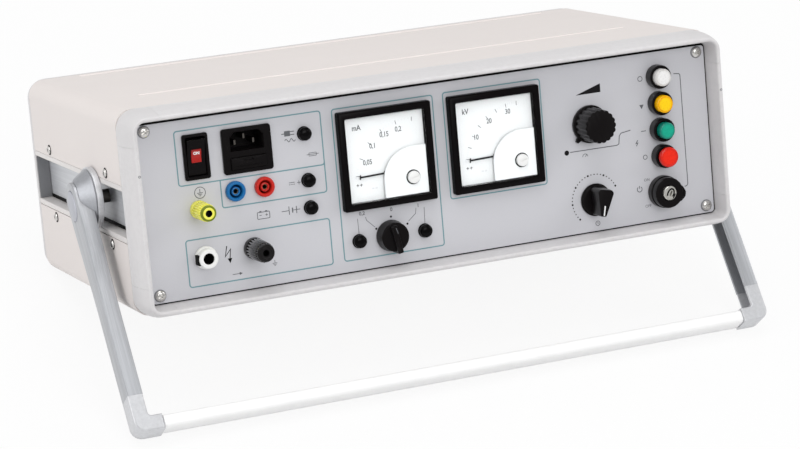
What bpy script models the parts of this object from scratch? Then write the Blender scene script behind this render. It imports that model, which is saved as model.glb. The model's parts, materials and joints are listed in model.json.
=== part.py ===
# High voltage tester: a bench case with a carrying handle, modelled tilted back on the handle.
# Case axes before the tilt: +X right, -Y out of the front panel, +Z up. Origin on the panel's face.
import math

import bmesh
import bpy
from mathutils import Vector

MM = 0.001
GAP = 0.3 * MM              # running or seating gap between neighbouring pieces

# Case: front panel, cast frame round it, sheet covers and side profiles
PANEL_W = 446.4 * MM
PANEL_H = 128.4 * MM
PANEL_T = 2.5 * MM
PANEL_CORNER_R = 3.0 * MM
PANEL_FIT = 0.4 * MM        # air between the panel's edge and the frame
FRAME_T = 9.0 * MM          # frame wall, from the opening to the outer face
FRAME_FRONT = 16.0 * MM     # how far the nose stands before the panel
FRAME_REAR = 12.0 * MM      # how far the frame reaches behind the panel's face
FRAME_CORNER_R = 14.0 * MM
NOSE_W = 3.4 * MM
NOSE_FLARE = 2.0 * MM       # the opening widens this much towards the nose
LEDGE_W = 5.0 * MM          # ledge behind the panel, which its screws bite into
LEDGE_T = 3.2 * MM
TONGUE_T = 10.4 * MM        # behind the ledge, deep enough to close the side channels
CORNER_LEG = 24.0 * MM      # length of a cast corner along each rail
COVER_LENGTH = 219.4 * MM
COVER_T = 1.5 * MM
COVER_R = 12.0 * MM
COVER_EDGE_Z = 20.9 * MM    # lower edge of the top cover's sides, above mid height
BEAD_W = 2.4 * MM
BEAD_H = 0.8 * MM
BEAD_LENGTH = 390.0 * MM
BEAD_FROM_FRONT = 61.7 * MM # front bead's middle, from the cover's front edge
BEAD_FROM_REAR = 10.7 * MM  # rear bead's middle, from the rear edge
RECESS_H = 33.2 * MM        # channel along each side profile
RECESS_D = 10.0 * MM
PROFILE_T = 2.6 * MM
PROFILE_FLANGE = 12.5 * MM  # flange behind the covers, for their screws
REAR_DEPTH = 14.0 * MM
REAR_PANEL_T = 2.5 * MM
REAR_RECESS = 7.0 * MM
FOOT_R = 8.0 * MM
FOOT_H = 4.0 * MM
FOOT_INSET_X = 48.0 * MM
FOOT_INSET_Y = 20.0 * MM

# Carrying handle
PIVOT_Y = 80.5 * MM
PIVOT_Z = 4.0 * MM
PLATE_R = 22.5 * MM
PLATE_T = 4.4 * MM
BOSS_R = 11.5 * MM
PIN_R = 6.0 * MM
PIN_L = 5.8 * MM
HUB_BASE_R = 21.0 * MM
HUB_TOP_R = 13.6 * MM
ARM_THICK = 11.2 * MM
ARM_HEAD_R = 13.0 * MM
ARM_DEPTH = 18.0 * MM
ARM_WALL = 2.2 * MM
ARM_TAPER_END = 95.0 * MM   # the arm has its plain depth from here on
ARM_LENGTH = 177.5 * MM     # pivot to the middle of the grip
ARM_OUT_GAP = 13.4 * MM     # from the pivot plate's face to the arm's outer face
HANDLE_LEAN = 32.4          # degrees forward of straight down, as it stands
CORNER_UP = 22.0 * MM       # leg of the handle's corner piece along the arm
CORNER_IN = 21.0 * MM       # leg along the grip
CORNER_OUT_R = 8.0 * MM
GRIP_THICK = 9.6 * MM
GRIP_DEPTH = 17.0 * MM
GRIP_EDGE_R = 3.0 * MM
CAP_W = 16.0 * MM
CAP_L = 23.0 * MM
CAP_OFFSET = 4.5 * MM       # release cap's middle, down the arm from the pivot
CAP_T = 3.8 * MM
CAP_PROUD = 0.5 * MM
CAP_TRAVEL = 2.0 * MM

# Front panel: the fittings' places are read on a panel of this size and spread with it
LAYOUT_W = 446.4
LAYOUT_H = 128.4


def across(place):
    """Place to the right of the panel's middle."""
    return place / LAYOUT_W * PANEL_W


def upward(place):
    """Place above the panel's middle."""
    return place / LAYOUT_H * PANEL_H


SWITCH_W = 19.0 * MM
SWITCH_H = 32.6 * MM
SWITCH_RIM = 2.6 * MM
SWITCH_PROUD = 2.0 * MM
SWITCH_DEPTH = 14.0 * MM
SWITCH_AT = (across(-180.4), upward(35.8))
ROCKER_TILT = 8.0           # degrees each way
INLET_W = 37.0 * MM
INLET_H = 32.6 * MM
INLET_PROUD = 2.4 * MM
INLET_DEPTH = 26.0 * MM
INLET_AT = (across(-142.6), upward(35.8))
SOCKET_MOUTH_W = 24.0 * MM
SOCKET_MOUTH_H = 13.0 * MM
SOCKET_MOUTH_UP = 6.6 * MM
SOCKET_MOUTH_D = 17.0 * MM
BLADE_W = 2.0 * MM
BLADE_H = 4.0 * MM
BLADE_SPREAD = 7.0 * MM
BLADE_SHY = 4.0 * MM        # blade tips behind the panel's face
DRAWER_W = 27.0 * MM
DRAWER_H = 9.0 * MM
DRAWER_DOWN = 8.9 * MM
DRAWER_D = 21.0 * MM
JACK_R = 7.2 * MM
JACK_BORE_R = 2.0 * MM
JACK_DEPTH = 20.0 * MM
JACK_DROP = 12.0 * MM       # jacks' middle below the inlet's lower edge
JACK_Z = INLET_AT[1] - INLET_H / 2 - JACK_DROP
BLUE_JACK_X = across(-154.2)
RED_JACK_X = across(-132.4)
EARTH_POST_R = 6.6 * MM
RETURN_POST_R = 7.7 * MM
POST_H = 22.0 * MM
POST_BASE_H = 5.0 * MM
POST_DEPTH = 14.0 * MM
STUD_R = 2.6 * MM
EARTH_DROP = 21.2 * MM      # earth post's middle below the switch's lower edge
EARTH_AT = (across(-182.0), SWITCH_AT[1] - SWITCH_H / 2 - EARTH_DROP)
RETURN_AT = (across(-144.0), upward(-35.2))
HV_R = 7.1 * MM
HV_H = 8.0 * MM
HV_BORE_R = 2.7 * MM
HV_DEPTH = 24.0 * MM
HV_AT = (across(-180.5), upward(-36.3))
LED_R = 4.7 * MM
LED_H = 5.4 * MM
LED_PLACES = (
    (across(-98.9), upward(40.8)),
    (across(-98.9), upward(7.2)),
    (across(-98.9), upward(-12.6)),
    (across(-64.4), upward(-42.4)),
    (across(-13.1), upward(-42.4)),
)
METER_SIZE = 72.0 * MM
METER_SPACE = 14.2 * MM     # between the two meters
METER_MID = across(4.5)
METER_X = (METER_MID - (METER_SIZE + METER_SPACE) / 2, METER_MID + (METER_SIZE + METER_SPACE) / 2)
METER_Z = upward(16.2)
METER_RIM = 5.4 * MM
METER_PROUD = 6.2 * MM
METER_CAN_R = 32.4 * MM
METER_CAN_L = 34.0 * MM
METER_DIAL_D = 4.8 * MM     # dial's depth below the bezel's face
METER_GLASS_T = 1.3 * MM
METER_GLASS_IN = 0.5 * MM   # pane's face below the bezel's face
NEEDLE_OFFSET = (18.6 * MM, -17.6 * MM)
NEEDLE_L = 41.0 * MM
NEEDLE_LIFT = 1.4 * MM
NEEDLE_T = 0.6 * MM
NEEDLE_HEAD_R = 2.6 * MM
STAFF_R = 1.6 * MM          # needle's staff, which stands on the dial
NEEDLE_ZERO = 7.0           # degrees above the horizontal at zero
ZERO_R = 4.5 * MM
RANGE_KNOB_R = 11.5 * MM
RANGE_KNOB_H = 12.6 * MM
RANGE_BODY_H = 9.8 * MM       # body under the bar
RANGE_TURN = 11.0           # degrees, anticlockwise positive
RANGE_KNOB_AT = (across(-39.6), upward(-42.0))
# Outlines of the knobs' wings: half width and place over the radius, from the broad end
RANGE_BAR = ((0.18, 0.80), (0.24, 0.72), (0.21, -1.08))
VOLT_KNOB_R = 14.2 * MM
VOLT_KNOB_H = 20.0 * MM
VOLT_FLUTES = 18
VOLT_LUG = 3.0 * MM         # pointer lug beyond the skirt
VOLT_AIM = 225.0            # degrees, where the lug points at zero
VOLT_KNOB_AT = (across(124.7), upward(16.6))
TIMER_KNOB_R = 12.2 * MM
TIMER_KNOB_H = 17.0 * MM
TIMER_BODY_H = 3.2 * MM
TIMER_TURN = -11.0          # degrees, anticlockwise positive
TIMER_KNOB_AT = (across(125.0), upward(-40.2))
TIMER_WING = ((0.40, 0.79), (0.56, 0.61), (0.20, -0.90))
SHAFT_R = 3.0 * MM
SHAFT_L = 16.0 * MM
COLLAR_R = 8.8 * MM
COLLAR_H = 8.0 * MM
LAMP_COUNT = 4
LAMP_SPACE = 2.3 * MM       # between the collars in the lamp column
LAMP_DEPTH = 18.0 * MM
LENS_R = 6.7 * MM
LENS_H = 4.8 * MM
BUTTON_BORE_R = 6.5 * MM
BUTTON_WALL = 0.9 * MM
BUTTON_TRAVEL = 2.0 * MM
BUTTON_H = 5.0 * MM         # button's face above its collar
BUTTON_STEM = 12.0 * MM
MUSHROOM = 1.3 * MM         # red button's head, wider than its stem
KEY_BASE_R = 11.2 * MM
KEY_BASE_H = 6.0 * MM
KEY_RING_R = 10.6 * MM
KEY_RING_H = 6.0 * MM
KEY_LUG = 3.4 * MM
KEY_LUG_W = 12.4 * MM
KEY_LUG_AIM = -11.0         # degrees, where the lug points
KEY_PLUG_R = 5.6 * MM
KEY_DEPTH = 22.0 * MM
KEYWAY_W = 1.6 * MM
KEYWAY_L = 6.4 * MM
LAMP_PITCH = 2 * COLLAR_R + LAMP_SPACE
COLUMN_SPARE = PANEL_H - (LAMP_COUNT - 1) * LAMP_PITCH - 2 * COLLAR_R - 2 * KEY_BASE_R
LAMP_X = across(182.2)
LAMP_TOP_Z = PANEL_H / 2 - COLLAR_R - 0.376 * COLUMN_SPARE
KEY_AT = (across(180.8), KEY_BASE_R + 0.383 * COLUMN_SPARE - PANEL_H / 2)

# Worked out from the sizes above
OPENING_W = PANEL_W + 2 * PANEL_FIT
OPENING_H = PANEL_H + 2 * PANEL_FIT
CASE_W = OPENING_W + 2 * FRAME_T
CASE_H = OPENING_H + 2 * FRAME_T
COVER_FRONT = FRAME_REAR + GAP
COVER_REAR = COVER_FRONT + COVER_LENGTH
REAR_FRONT = COVER_REAR + GAP
CASE_REAR = REAR_FRONT + REAR_DEPTH
PLATE_FACE = CASE_W / 2 + GAP + PLATE_T
ARM_OUTER = PLATE_FACE + ARM_OUT_GAP
ARM_INNER = ARM_OUTER - ARM_THICK


def material(name, colour, rough, metal=0.0):
    mat = bpy.data.materials.get(name) or bpy.data.materials.new(name)
    mat.use_nodes = True
    shader = mat.node_tree.nodes["Principled BSDF"]
    shader.inputs["Base Color"].default_value = (*colour, 1.0)
    shader.inputs["Roughness"].default_value = rough
    shader.inputs["Metallic"].default_value = metal
    mat.diffuse_color = (*colour, 1.0)
    return mat


def make_object(name, bm, mat, parent, at=(0, 0, 0), turn=(0, 0, 0)):
    """A smooth-shaded object from a bmesh, which is freed."""
    bmesh.ops.recalc_face_normals(bm, faces=bm.faces)
    mesh = bpy.data.meshes.new(name)
    bm.to_mesh(mesh)
    bm.free()
    mesh.shade_smooth()
    mesh.set_sharp_from_angle(angle=math.radians(32))
    mesh.materials.append(mat)
    obj = bpy.data.objects.new(name, mesh)
    bpy.context.scene.collection.objects.link(obj)
    obj.parent = parent
    obj.location = at
    obj.rotation_euler = turn
    return obj


def empty(name, parent=None, at=(0, 0, 0), turn=(0, 0, 0)):
    obj = bpy.data.objects.new(name, None)
    bpy.context.scene.collection.objects.link(obj)
    obj.parent = parent
    obj.location = at
    obj.rotation_euler = turn
    return obj


def boolean(target, tool, operation):
    """Join or cut target with a hidden tool object."""
    tool.hide_render = True
    tool.display_type = "WIRE"
    mod = target.modifiers.new(f"{operation.lower()} {tool.name}", "BOOLEAN")
    mod.operation = operation
    mod.solver = "EXACT"
    mod.object = tool


def loft(rings, closed=False):
    """A skin over rings of equally many points, capped at both ends unless it closes on itself."""
    bm = bmesh.new()
    loops = [[bm.verts.new(point) for point in ring] for ring in rings]
    count = len(loops[0])
    pairs = list(zip(loops, loops[1:]))
    if closed:
        pairs.append((loops[-1], loops[0]))
    for lower, upper in pairs:
        for i in range(count):
            j = (i + 1) % count
            bm.faces.new((lower[i], lower[j], upper[j], upper[i]))
    if not closed:
        bm.faces.new(loops[0])
        bm.faces.new(loops[-1])
    return bm


def arc(centre, radius, start, end, steps):
    """Points on an arc in a plane, angles in degrees."""
    points = []
    for i in range(steps + 1):
        angle = math.radians(start + (end - start) * i / steps)
        points.append((centre[0] + radius * math.cos(angle), centre[1] + radius * math.sin(angle)))
    return points


def round_rect(width, height, radius, steps=4):
    """Outline of a rectangle with round corners, anticlockwise from the lower right corner."""
    x, y = width / 2 - radius, height / 2 - radius
    points = []
    for corner, (sx, sy) in enumerate(((1, -1), (1, 1), (-1, 1), (-1, -1))):
        points += arc((sx * x, sy * y), radius, -90 + 90 * corner, 90 * corner, steps)
    return points


def extrude(outline, low, high, axis="Z"):
    """A prism of the outline between two heights along X, Y or Z."""
    def place(point, height):
        a, b = point
        return {"X": (height, a, b), "Y": (a, height, b), "Z": (a, b, height)}[axis]
    return loft([[place(p, h) for p in outline] for h in (low, high)])


def stepped_plate(width, height, radius, levels, steps=3):
    """A round-cornered plate built up through levels of (height, inset)."""
    rings = []
    for z, inset in levels:
        corner = max(radius - inset, 0.3 * MM)
        outline = round_rect(width - 2 * inset, height - 2 * inset, corner, steps)
        rings.append([(x, y, z) for x, y in outline])
    return loft(rings)


def turned(profile, segments=24):
    """Spin an open profile of (radius, height), which starts and ends on the axis, round Z."""
    bm = bmesh.new()
    verts = [bm.verts.new((r, 0.0, z)) for r, z in profile]
    edges = [bm.edges.new(pair) for pair in zip(verts, verts[1:])]
    bmesh.ops.spin(bm, geom=verts + edges, cent=(0, 0, 0), axis=(0, 0, 1),
                   angle=2 * math.pi, steps=segments, use_duplicate=False)
    bmesh.ops.remove_doubles(bm, verts=bm.verts, dist=0.00001)
    return bm


def ring_turned(profile, segments=24):
    """Spin a closed profile that stays clear of the axis."""
    rings = []
    for i in range(segments):
        angle = 2 * math.pi * i / segments
        rings.append([(r * math.cos(angle), r * math.sin(angle), z) for r, z in profile])
    return loft(rings, closed=True)


def frame_profile(front, rear, nose_w, flare, ledge_at):
    """Section of a frame: (out from the opening, along Y), round nose at the front."""
    nose_r = nose_w / 2
    nose = arc((flare + nose_r, front + nose_r), nose_r, 0, -180, 4)
    shoulder = [
        (FRAME_T, rear),
        (FRAME_T, rear - 3 * MM),
        (FRAME_T - 0.35 * MM, front + 0.62 * (rear - front)),
        (FRAME_T - 1.3 * MM, front + 0.36 * (rear - front)),
    ]
    inside = [
        (0.0, ledge_at - PANEL_T),
        (0.0, ledge_at),
        (-LEDGE_W, ledge_at),
        (-LEDGE_W, ledge_at + LEDGE_T),
        (FRAME_T - TONGUE_T, ledge_at + LEDGE_T),
        (FRAME_T - TONGUE_T, rear),
    ]
    return shoulder + nose + inside


def corner_radius(out):
    """Corner radius of the frame's outline, from the panel's corner to the outer face."""
    share = max(out, 0.0) / FRAME_T
    return max(PANEL_CORNER_R + PANEL_FIT + share * (FRAME_CORNER_R - PANEL_CORNER_R), 0.5 * MM)


def corner_path(out, start_x, start_z, steps=5):
    """Outline of one corner at a distance out of the opening, from the top rail to the side rail."""
    radius = corner_radius(out)
    x, z = OPENING_W / 2 + out, OPENING_H / 2 + out
    bend = arc((x - radius, z - radius), radius, 90, 0, steps)
    return [(start_x, z)] + bend + [(x, start_z)]


def sweep(profile, path, flip_x=1, flip_z=1, y_scale=1, y_shift=0.0):
    """Frame piece whose section follows a path that depends on the distance from the opening."""
    columns = [path(out) for out, _ in profile]
    rings = []
    for k in range(len(columns[0])):
        ring = []
        for (out, y), column in zip(profile, columns):
            x, z = column[k]
            ring.append((flip_x * x, y_scale * y + y_shift, flip_z * z))
        rings.append(ring)
    return rings


def build_front_frame(root, mat):
    """Four cast corners and four rails, butted with a fine gap."""
    profile = frame_profile(-FRAME_FRONT, FRAME_REAR, NOSE_W, NOSE_FLARE, PANEL_T + GAP)
    seam_x = CASE_W / 2 - CORNER_LEG
    seam_z = CASE_H / 2 - CORNER_LEG
    for name, sx, sz in (("tl", -1, 1), ("tr", 1, 1), ("bl", -1, -1), ("br", 1, -1)):
        rings = sweep(profile, lambda out: corner_path(out, seam_x + GAP, seam_z + GAP), sx, sz)
        make_object(f"frame_corner_{name}", loft(rings), mat, root)
    for name, sz in (("top", 1), ("bottom", -1)):
        high = OPENING_H / 2
        rings = sweep(profile, lambda out: [(-seam_x, high + out), (seam_x, high + out)], 1, sz)
        make_object(f"frame_rail_{name}", loft(rings), mat, root)
    for name, sx in (("left", -1), ("right", 1)):
        wide = OPENING_W / 2
        rings = sweep(profile, lambda out: [(wide + out, -seam_z), (wide + out, seam_z)], sx, 1)
        make_object(f"frame_rail_{name}", loft(rings), mat, root)


def build_rear_frame(root, mat, panel_mat):
    """One cast ring round the recessed rear panel."""
    profile = frame_profile(0.0, REAR_DEPTH, NOSE_W, 0.0, REAR_RECESS)
    half = [(out, CASE_REAR - y) for out, y in profile]
    ring_paths = []
    for out, _ in half:
        first = corner_path(out, 0.0, 0.0, 4)[1:-1]
        loop = []
        for sx, sz in ((1, 1), (1, -1), (-1, -1), (-1, 1)):
            side = [(sx * x, sz * z) for x, z in first]
            loop += side if sx * sz > 0 else side[::-1]
        ring_paths.append(loop)
    rings = [[(path[k][0], y, path[k][1]) for (_, y), path in zip(half, ring_paths)]
             for k in range(len(ring_paths[0]))]
    make_object("rear_frame", loft(rings, closed=True), mat, root)
    rear_face = CASE_REAR - REAR_RECESS + GAP
    outline = round_rect(PANEL_W, PANEL_H, PANEL_CORNER_R)
    make_object("rear_panel", extrude(outline, rear_face, rear_face + REAR_PANEL_T, "Y"), panel_mat, root)


def cover_outline(sign):
    """Section of a bent cover sheet, upper one for sign 1, lower one for sign -1."""
    def side(half_w, half_h, radius):
        right = [(half_w, COVER_EDGE_Z)] + arc((half_w - radius, half_h - radius), radius, 0, 90, 6)
        return right + [(-x, z) for x, z in reversed(right)]
    outer = side(CASE_W / 2, CASE_H / 2, COVER_R)
    inner = side(CASE_W / 2 - COVER_T, CASE_H / 2 - COVER_T, COVER_R - COVER_T)
    return [(x, sign * z) for x, z in outer + inner[::-1]]


def build_covers(root, mat):
    """Two bent sheets; the upper one has two pressed beads across it."""
    top = make_object("top_cover", extrude(cover_outline(1), COVER_FRONT, COVER_REAR, "Y"), mat, root)
    make_object("bottom_cover", extrude(cover_outline(-1), COVER_FRONT, COVER_REAR, "Y"), mat, root)
    for i, y in enumerate((COVER_FRONT + BEAD_FROM_FRONT, COVER_REAR - BEAD_FROM_REAR)):
        rings = []
        half_w = BEAD_W / 2
        levels = ((-COVER_T / 2, 0.0), (0.0, 0.0), (0.7 * BEAD_H, 0.35 * half_w), (BEAD_H, 0.8 * half_w))
        for lift, inset in levels:
            length, width = BEAD_LENGTH - 2 * inset, BEAD_W - 2 * inset
            outline = round_rect(length, width, half_w - inset - 0.01 * MM, 3)
            rings.append([(x, y + b, CASE_H / 2 + lift) for x, b in outline])
        boolean(top, make_object(f"bead_tool_{i}", loft(rings), mat, root), "UNION")


def build_side_profiles(root, mat):
    """Extruded rails with the channel that the handle's pivots sit in."""
    lip = COVER_EDGE_Z - GAP
    flange_out = COVER_T + GAP
    flange_in = flange_out + PROFILE_T
    floor_back = RECESS_D + PROFILE_T
    wall_top = RECESS_H / 2 + PROFILE_T
    upper = [
        (RECESS_D, RECESS_H / 2), (0.0, RECESS_H / 2), (0.0, lip), (flange_out, lip),
        (flange_out, lip + PROFILE_FLANGE), (flange_in, lip + PROFILE_FLANGE),
        (flange_in, wall_top), (floor_back, wall_top),
    ]
    outline = upper + [(d, -z) for d, z in reversed(upper)]
    for name, sign in (("left", -1), ("right", 1)):
        section = [(sign * (CASE_W / 2 - d), z) for d, z in outline]
        make_object(f"side_profile_{name}", extrude(section, COVER_FRONT, COVER_REAR, "Y"), mat, root)


def build_feet(root, mat):
    for fore, y in (("front", COVER_FRONT + FOOT_INSET_Y), ("rear", COVER_REAR - FOOT_INSET_Y)):
        for side, sign in (("left", -1), ("right", 1)):
            at = (sign * (CASE_W / 2 - FOOT_INSET_X), y, -CASE_H / 2 - GAP)
            shape = turned([(0, 0), (FOOT_R, 0), (FOOT_R - 0.8 * MM, -FOOT_H + 0.5 * MM),
                            (FOOT_R - 1.3 * MM, -FOOT_H), (0, -FOOT_H)], 16)
            make_object(f"foot_{fore}_{side}", shape, mat, root, at)


def panel_cutter(name, parent, at, outline):
    """A guide that cuts an opening of this outline right through the panel."""
    shape = extrude(outline, -PANEL_T - 2 * MM, 2 * MM)
    return make_object(name, shape, material("cutter red", (1, 0, 0), 1), parent, (*at, 0))


def circle(radius, steps=24):
    return arc((0, 0), radius, 0, 360 * (steps - 1) / steps, steps - 1)


def build_front_panel(root, face, mat):
    """Panel with a cut-out for every fitting and the lamp domes that snap into it."""
    outline = round_rect(PANEL_W, PANEL_H, PANEL_CORNER_R)
    panel = make_object("front_panel", extrude(outline, 0.0, PANEL_T, "Y"), mat, root)
    cuts = [
        (SWITCH_AT, round_rect(SWITCH_W - 2.4 * MM, SWITCH_H - 2.4 * MM, 1 * MM, 2)),
        (INLET_AT, round_rect(INLET_W - 4.4 * MM, INLET_H - 2.4 * MM, 1.5 * MM, 2)),
        ((BLUE_JACK_X, JACK_Z), circle(JACK_R - 1.6 * MM, 14)),
        ((RED_JACK_X, JACK_Z), circle(JACK_R - 1.6 * MM, 14)),
        (EARTH_AT, circle(STUD_R + 1.4 * MM, 12)),
        (RETURN_AT, circle(STUD_R + 1.4 * MM, 12)),
        (HV_AT, circle(HV_R - 0.7 * MM, 14)),
        (KEY_AT, circle(KEY_BASE_R - 1.3 * MM, 18)),
    ]
    cuts += [((x, METER_Z), circle(METER_CAN_R + 2 * GAP, 30)) for x in METER_X]
    cuts += [(at, circle(SHAFT_R + GAP, 12)) for at in (RANGE_KNOB_AT, VOLT_KNOB_AT, TIMER_KNOB_AT)]
    lamp_hole = circle(BUTTON_BORE_R + BUTTON_WALL + 1.5 * GAP, 16)
    cuts += [((LAMP_X, LAMP_TOP_Z - i * LAMP_PITCH), lamp_hole) for i in range(LAMP_COUNT)]
    for number, (at, shape) in enumerate(cuts):
        boolean(panel, panel_cutter(f"panel_cut_{number}", face, at, shape), "DIFFERENCE")
    for number, at in enumerate(LED_PLACES):
        dome = turned([(0, -1.5 * MM), (LED_R, -1.5 * MM), (LED_R, LED_H - 2.2 * MM),
                       (0.86 * LED_R, LED_H - 1.0 * MM), (0.5 * LED_R, LED_H - 0.2 * MM), (0, LED_H)], 12)
        boolean(panel, make_object(f"led_tool_{number}", dome, mat, face, (*at, 0)), "UNION")


def build_switch(face, dark, glow):
    """Snap-in rocker switch; the rocker turns about X."""
    levels = ((GAP, 0), (SWITCH_PROUD - 0.6 * MM, 0), (SWITCH_PROUD, 0.6 * MM))
    plate = stepped_plate(SWITCH_W, SWITCH_H, 1.6 * MM, levels)
    house = make_object("switch_housing", plate, dark, face, (*SWITCH_AT, 0))
    body_w, body_h = SWITCH_W - 3.0 * MM, SWITCH_H - 3.0 * MM
    body = extrude(round_rect(body_w, body_h, 0.8 * MM, 2), -SWITCH_DEPTH, 0.8 * MM)
    boolean(house, make_object("switch_body_tool", body, dark, face, (*SWITCH_AT, 0)), "UNION")
    mouth_w, mouth_h = SWITCH_W - 2 * SWITCH_RIM, SWITCH_H - 2 * SWITCH_RIM
    mouth = extrude(round_rect(mouth_w, mouth_h, 0.5 * MM, 2), -SWITCH_DEPTH + 2 * MM, 5 * MM)
    boolean(house, make_object("switch_mouth_tool", mouth, dark, face, (*SWITCH_AT, 0)), "DIFFERENCE")
    reach = mouth_h / 2 - 0.8 * MM
    half_w = mouth_w / 2 - GAP
    outline = [(-reach, 1.0 * MM), (-reach, 3.2 * MM), (-reach + 0.8 * MM, 3.6 * MM)]
    outline += [(0.0, 2.0 * MM), (reach - 0.8 * MM, 3.6 * MM), (reach, 3.2 * MM), (reach, 1.0 * MM)]
    outline += [(0.62 * reach, -4.0 * MM), (-0.62 * reach, -4.0 * MM)]
    make_object("rocker", extrude(outline, -half_w, half_w, "X"), glow, face, (*SWITCH_AT, -1.0 * MM),
                (math.radians(ROCKER_TILT), 0, 0))


def build_inlet(face, dark):
    """Mains inlet with three blades, and the fuse drawer under it."""
    levels = ((GAP, 0), (INLET_PROUD - 0.6 * MM, 0), (INLET_PROUD, 0.6 * MM))
    plate = stepped_plate(INLET_W, INLET_H, 2.2 * MM, levels)
    house = make_object("inlet_housing", plate, dark, face, (*INLET_AT, 0))
    body = extrude(round_rect(INLET_W - 5 * MM, INLET_H - 3 * MM, 1.2 * MM, 2), -INLET_DEPTH, 0.8 * MM)
    boolean(house, make_object("inlet_body_tool", body, dark, face, (*INLET_AT, 0)), "UNION")
    x, up = INLET_AT
    bevel = 3.4 * MM
    half_w, half_h = SOCKET_MOUTH_W / 2, SOCKET_MOUTH_H / 2
    mouth = [(-half_w, -half_h), (half_w, -half_h), (half_w, half_h - bevel), (half_w - bevel, half_h),
             (bevel - half_w, half_h), (-half_w, half_h - bevel)]
    mouth_at = (x, up + SOCKET_MOUTH_UP, 0)
    drawer_at = (x, up - DRAWER_DOWN, 0)
    tool = make_object("inlet_mouth_tool", extrude(mouth, -SOCKET_MOUTH_D, 5 * MM), dark, face, mouth_at)
    boolean(house, tool, "DIFFERENCE")
    slot = round_rect(DRAWER_W, DRAWER_H, 0.8 * MM, 2)
    tool = make_object("drawer_slot_tool", extrude(slot, -DRAWER_D - GAP, 5 * MM), dark, face, drawer_at)
    boolean(house, tool, "DIFFERENCE")
    blades = ((-BLADE_SPREAD, -1.4 * MM), (0.0, 2.4 * MM), (BLADE_SPREAD, -1.4 * MM))
    for number, (dx, dz) in enumerate(blades):
        outline = round_rect(BLADE_W, BLADE_H, BLADE_W / 4, 1)
        blade = extrude(outline, -SOCKET_MOUTH_D - 1 * MM, -BLADE_SHY)
        at = (x + dx, up + SOCKET_MOUTH_UP + dz, 0)
        boolean(house, make_object(f"blade_tool_{number}", blade, dark, face, at), "UNION")
    levels = ((-DRAWER_D, GAP), (INLET_PROUD + 0.4 * MM, GAP), (INLET_PROUD + 1.2 * MM, GAP + 0.7 * MM))
    drawer = stepped_plate(DRAWER_W, DRAWER_H, 0.8 * MM, levels, 2)
    make_object("fuse_drawer", drawer, dark, face, drawer_at)


def build_jacks(face, blue, red):
    """Two 4 mm safety sockets."""
    for name, x, mat in (("blue_socket", BLUE_JACK_X, blue), ("red_socket", RED_JACK_X, red)):
        barrel = JACK_R - 2.0 * MM
        bottom = -0.7 * JACK_DEPTH
        profile = [
            (0, -JACK_DEPTH), (barrel, -JACK_DEPTH), (barrel, GAP), (JACK_R, GAP), (JACK_R, 3.0 * MM),
            (JACK_R - 0.7 * MM, 3.8 * MM), (JACK_R - 2.2 * MM, 3.8 * MM), (JACK_R - 2.6 * MM, 2.8 * MM),
            (JACK_BORE_R + 0.6 * MM, 2.8 * MM), (JACK_BORE_R, 2.2 * MM), (JACK_BORE_R, bottom), (0, bottom),
        ]
        make_object(name, turned(profile, 18), mat, face, (x, JACK_Z, 0))


def build_post(face, name, at, post_r, base_mat, cap_mat):
    """Binding post: insulated base with a stud, and the cap screwed on it."""
    neck = STUD_R + 1.0 * MM
    stud_top = POST_H - 5 * MM
    base = [
        (0, -POST_DEPTH), (neck, -POST_DEPTH), (neck, GAP), (post_r, GAP), (post_r, POST_BASE_H - 0.5 * MM),
        (post_r - 0.5 * MM, POST_BASE_H), (STUD_R, POST_BASE_H), (STUD_R, stud_top), (0, stud_top),
    ]
    make_object(f"{name}_post_base", turned(base, 18), base_mat, face, (*at, 0))
    low = POST_BASE_H + GAP
    bore = STUD_R + GAP
    cap = [
        (bore, low), (post_r - 0.2 * MM, low), (post_r, low + 0.8 * MM), (post_r, POST_H - 2.2 * MM),
        (post_r - 0.9 * MM, POST_H - 0.8 * MM), (post_r - 1.8 * MM, POST_H),
        (JACK_BORE_R + 0.8 * MM, POST_H), (JACK_BORE_R, POST_H - 0.8 * MM),
        (JACK_BORE_R, POST_H - 4 * MM), (bore, POST_H - 4.6 * MM),
    ]
    make_object(f"{name}_post_cap", ring_turned(cap, 18), cap_mat, face, (*at, 0))


def build_hv_socket(face, mat):
    """High voltage output: white insulating sleeve round a deep contact."""
    barrel, flange = HV_R - 1.2 * MM, HV_R + 1.2 * MM
    profile = [
        (0, -HV_DEPTH), (barrel, -HV_DEPTH), (barrel, GAP), (flange, GAP), (flange, 2.0 * MM),
        (HV_R, 2.4 * MM),
        (HV_R, HV_H - 0.7 * MM), (HV_R - 0.7 * MM, HV_H), (HV_BORE_R + 1.0 * MM, HV_H),
        (HV_BORE_R, HV_H - 1.0 * MM), (HV_BORE_R, -HV_DEPTH / 2), (0, -HV_DEPTH / 2),
    ]
    make_object("hv_socket", turned(profile, 18), mat, face, (*HV_AT, 0))


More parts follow.
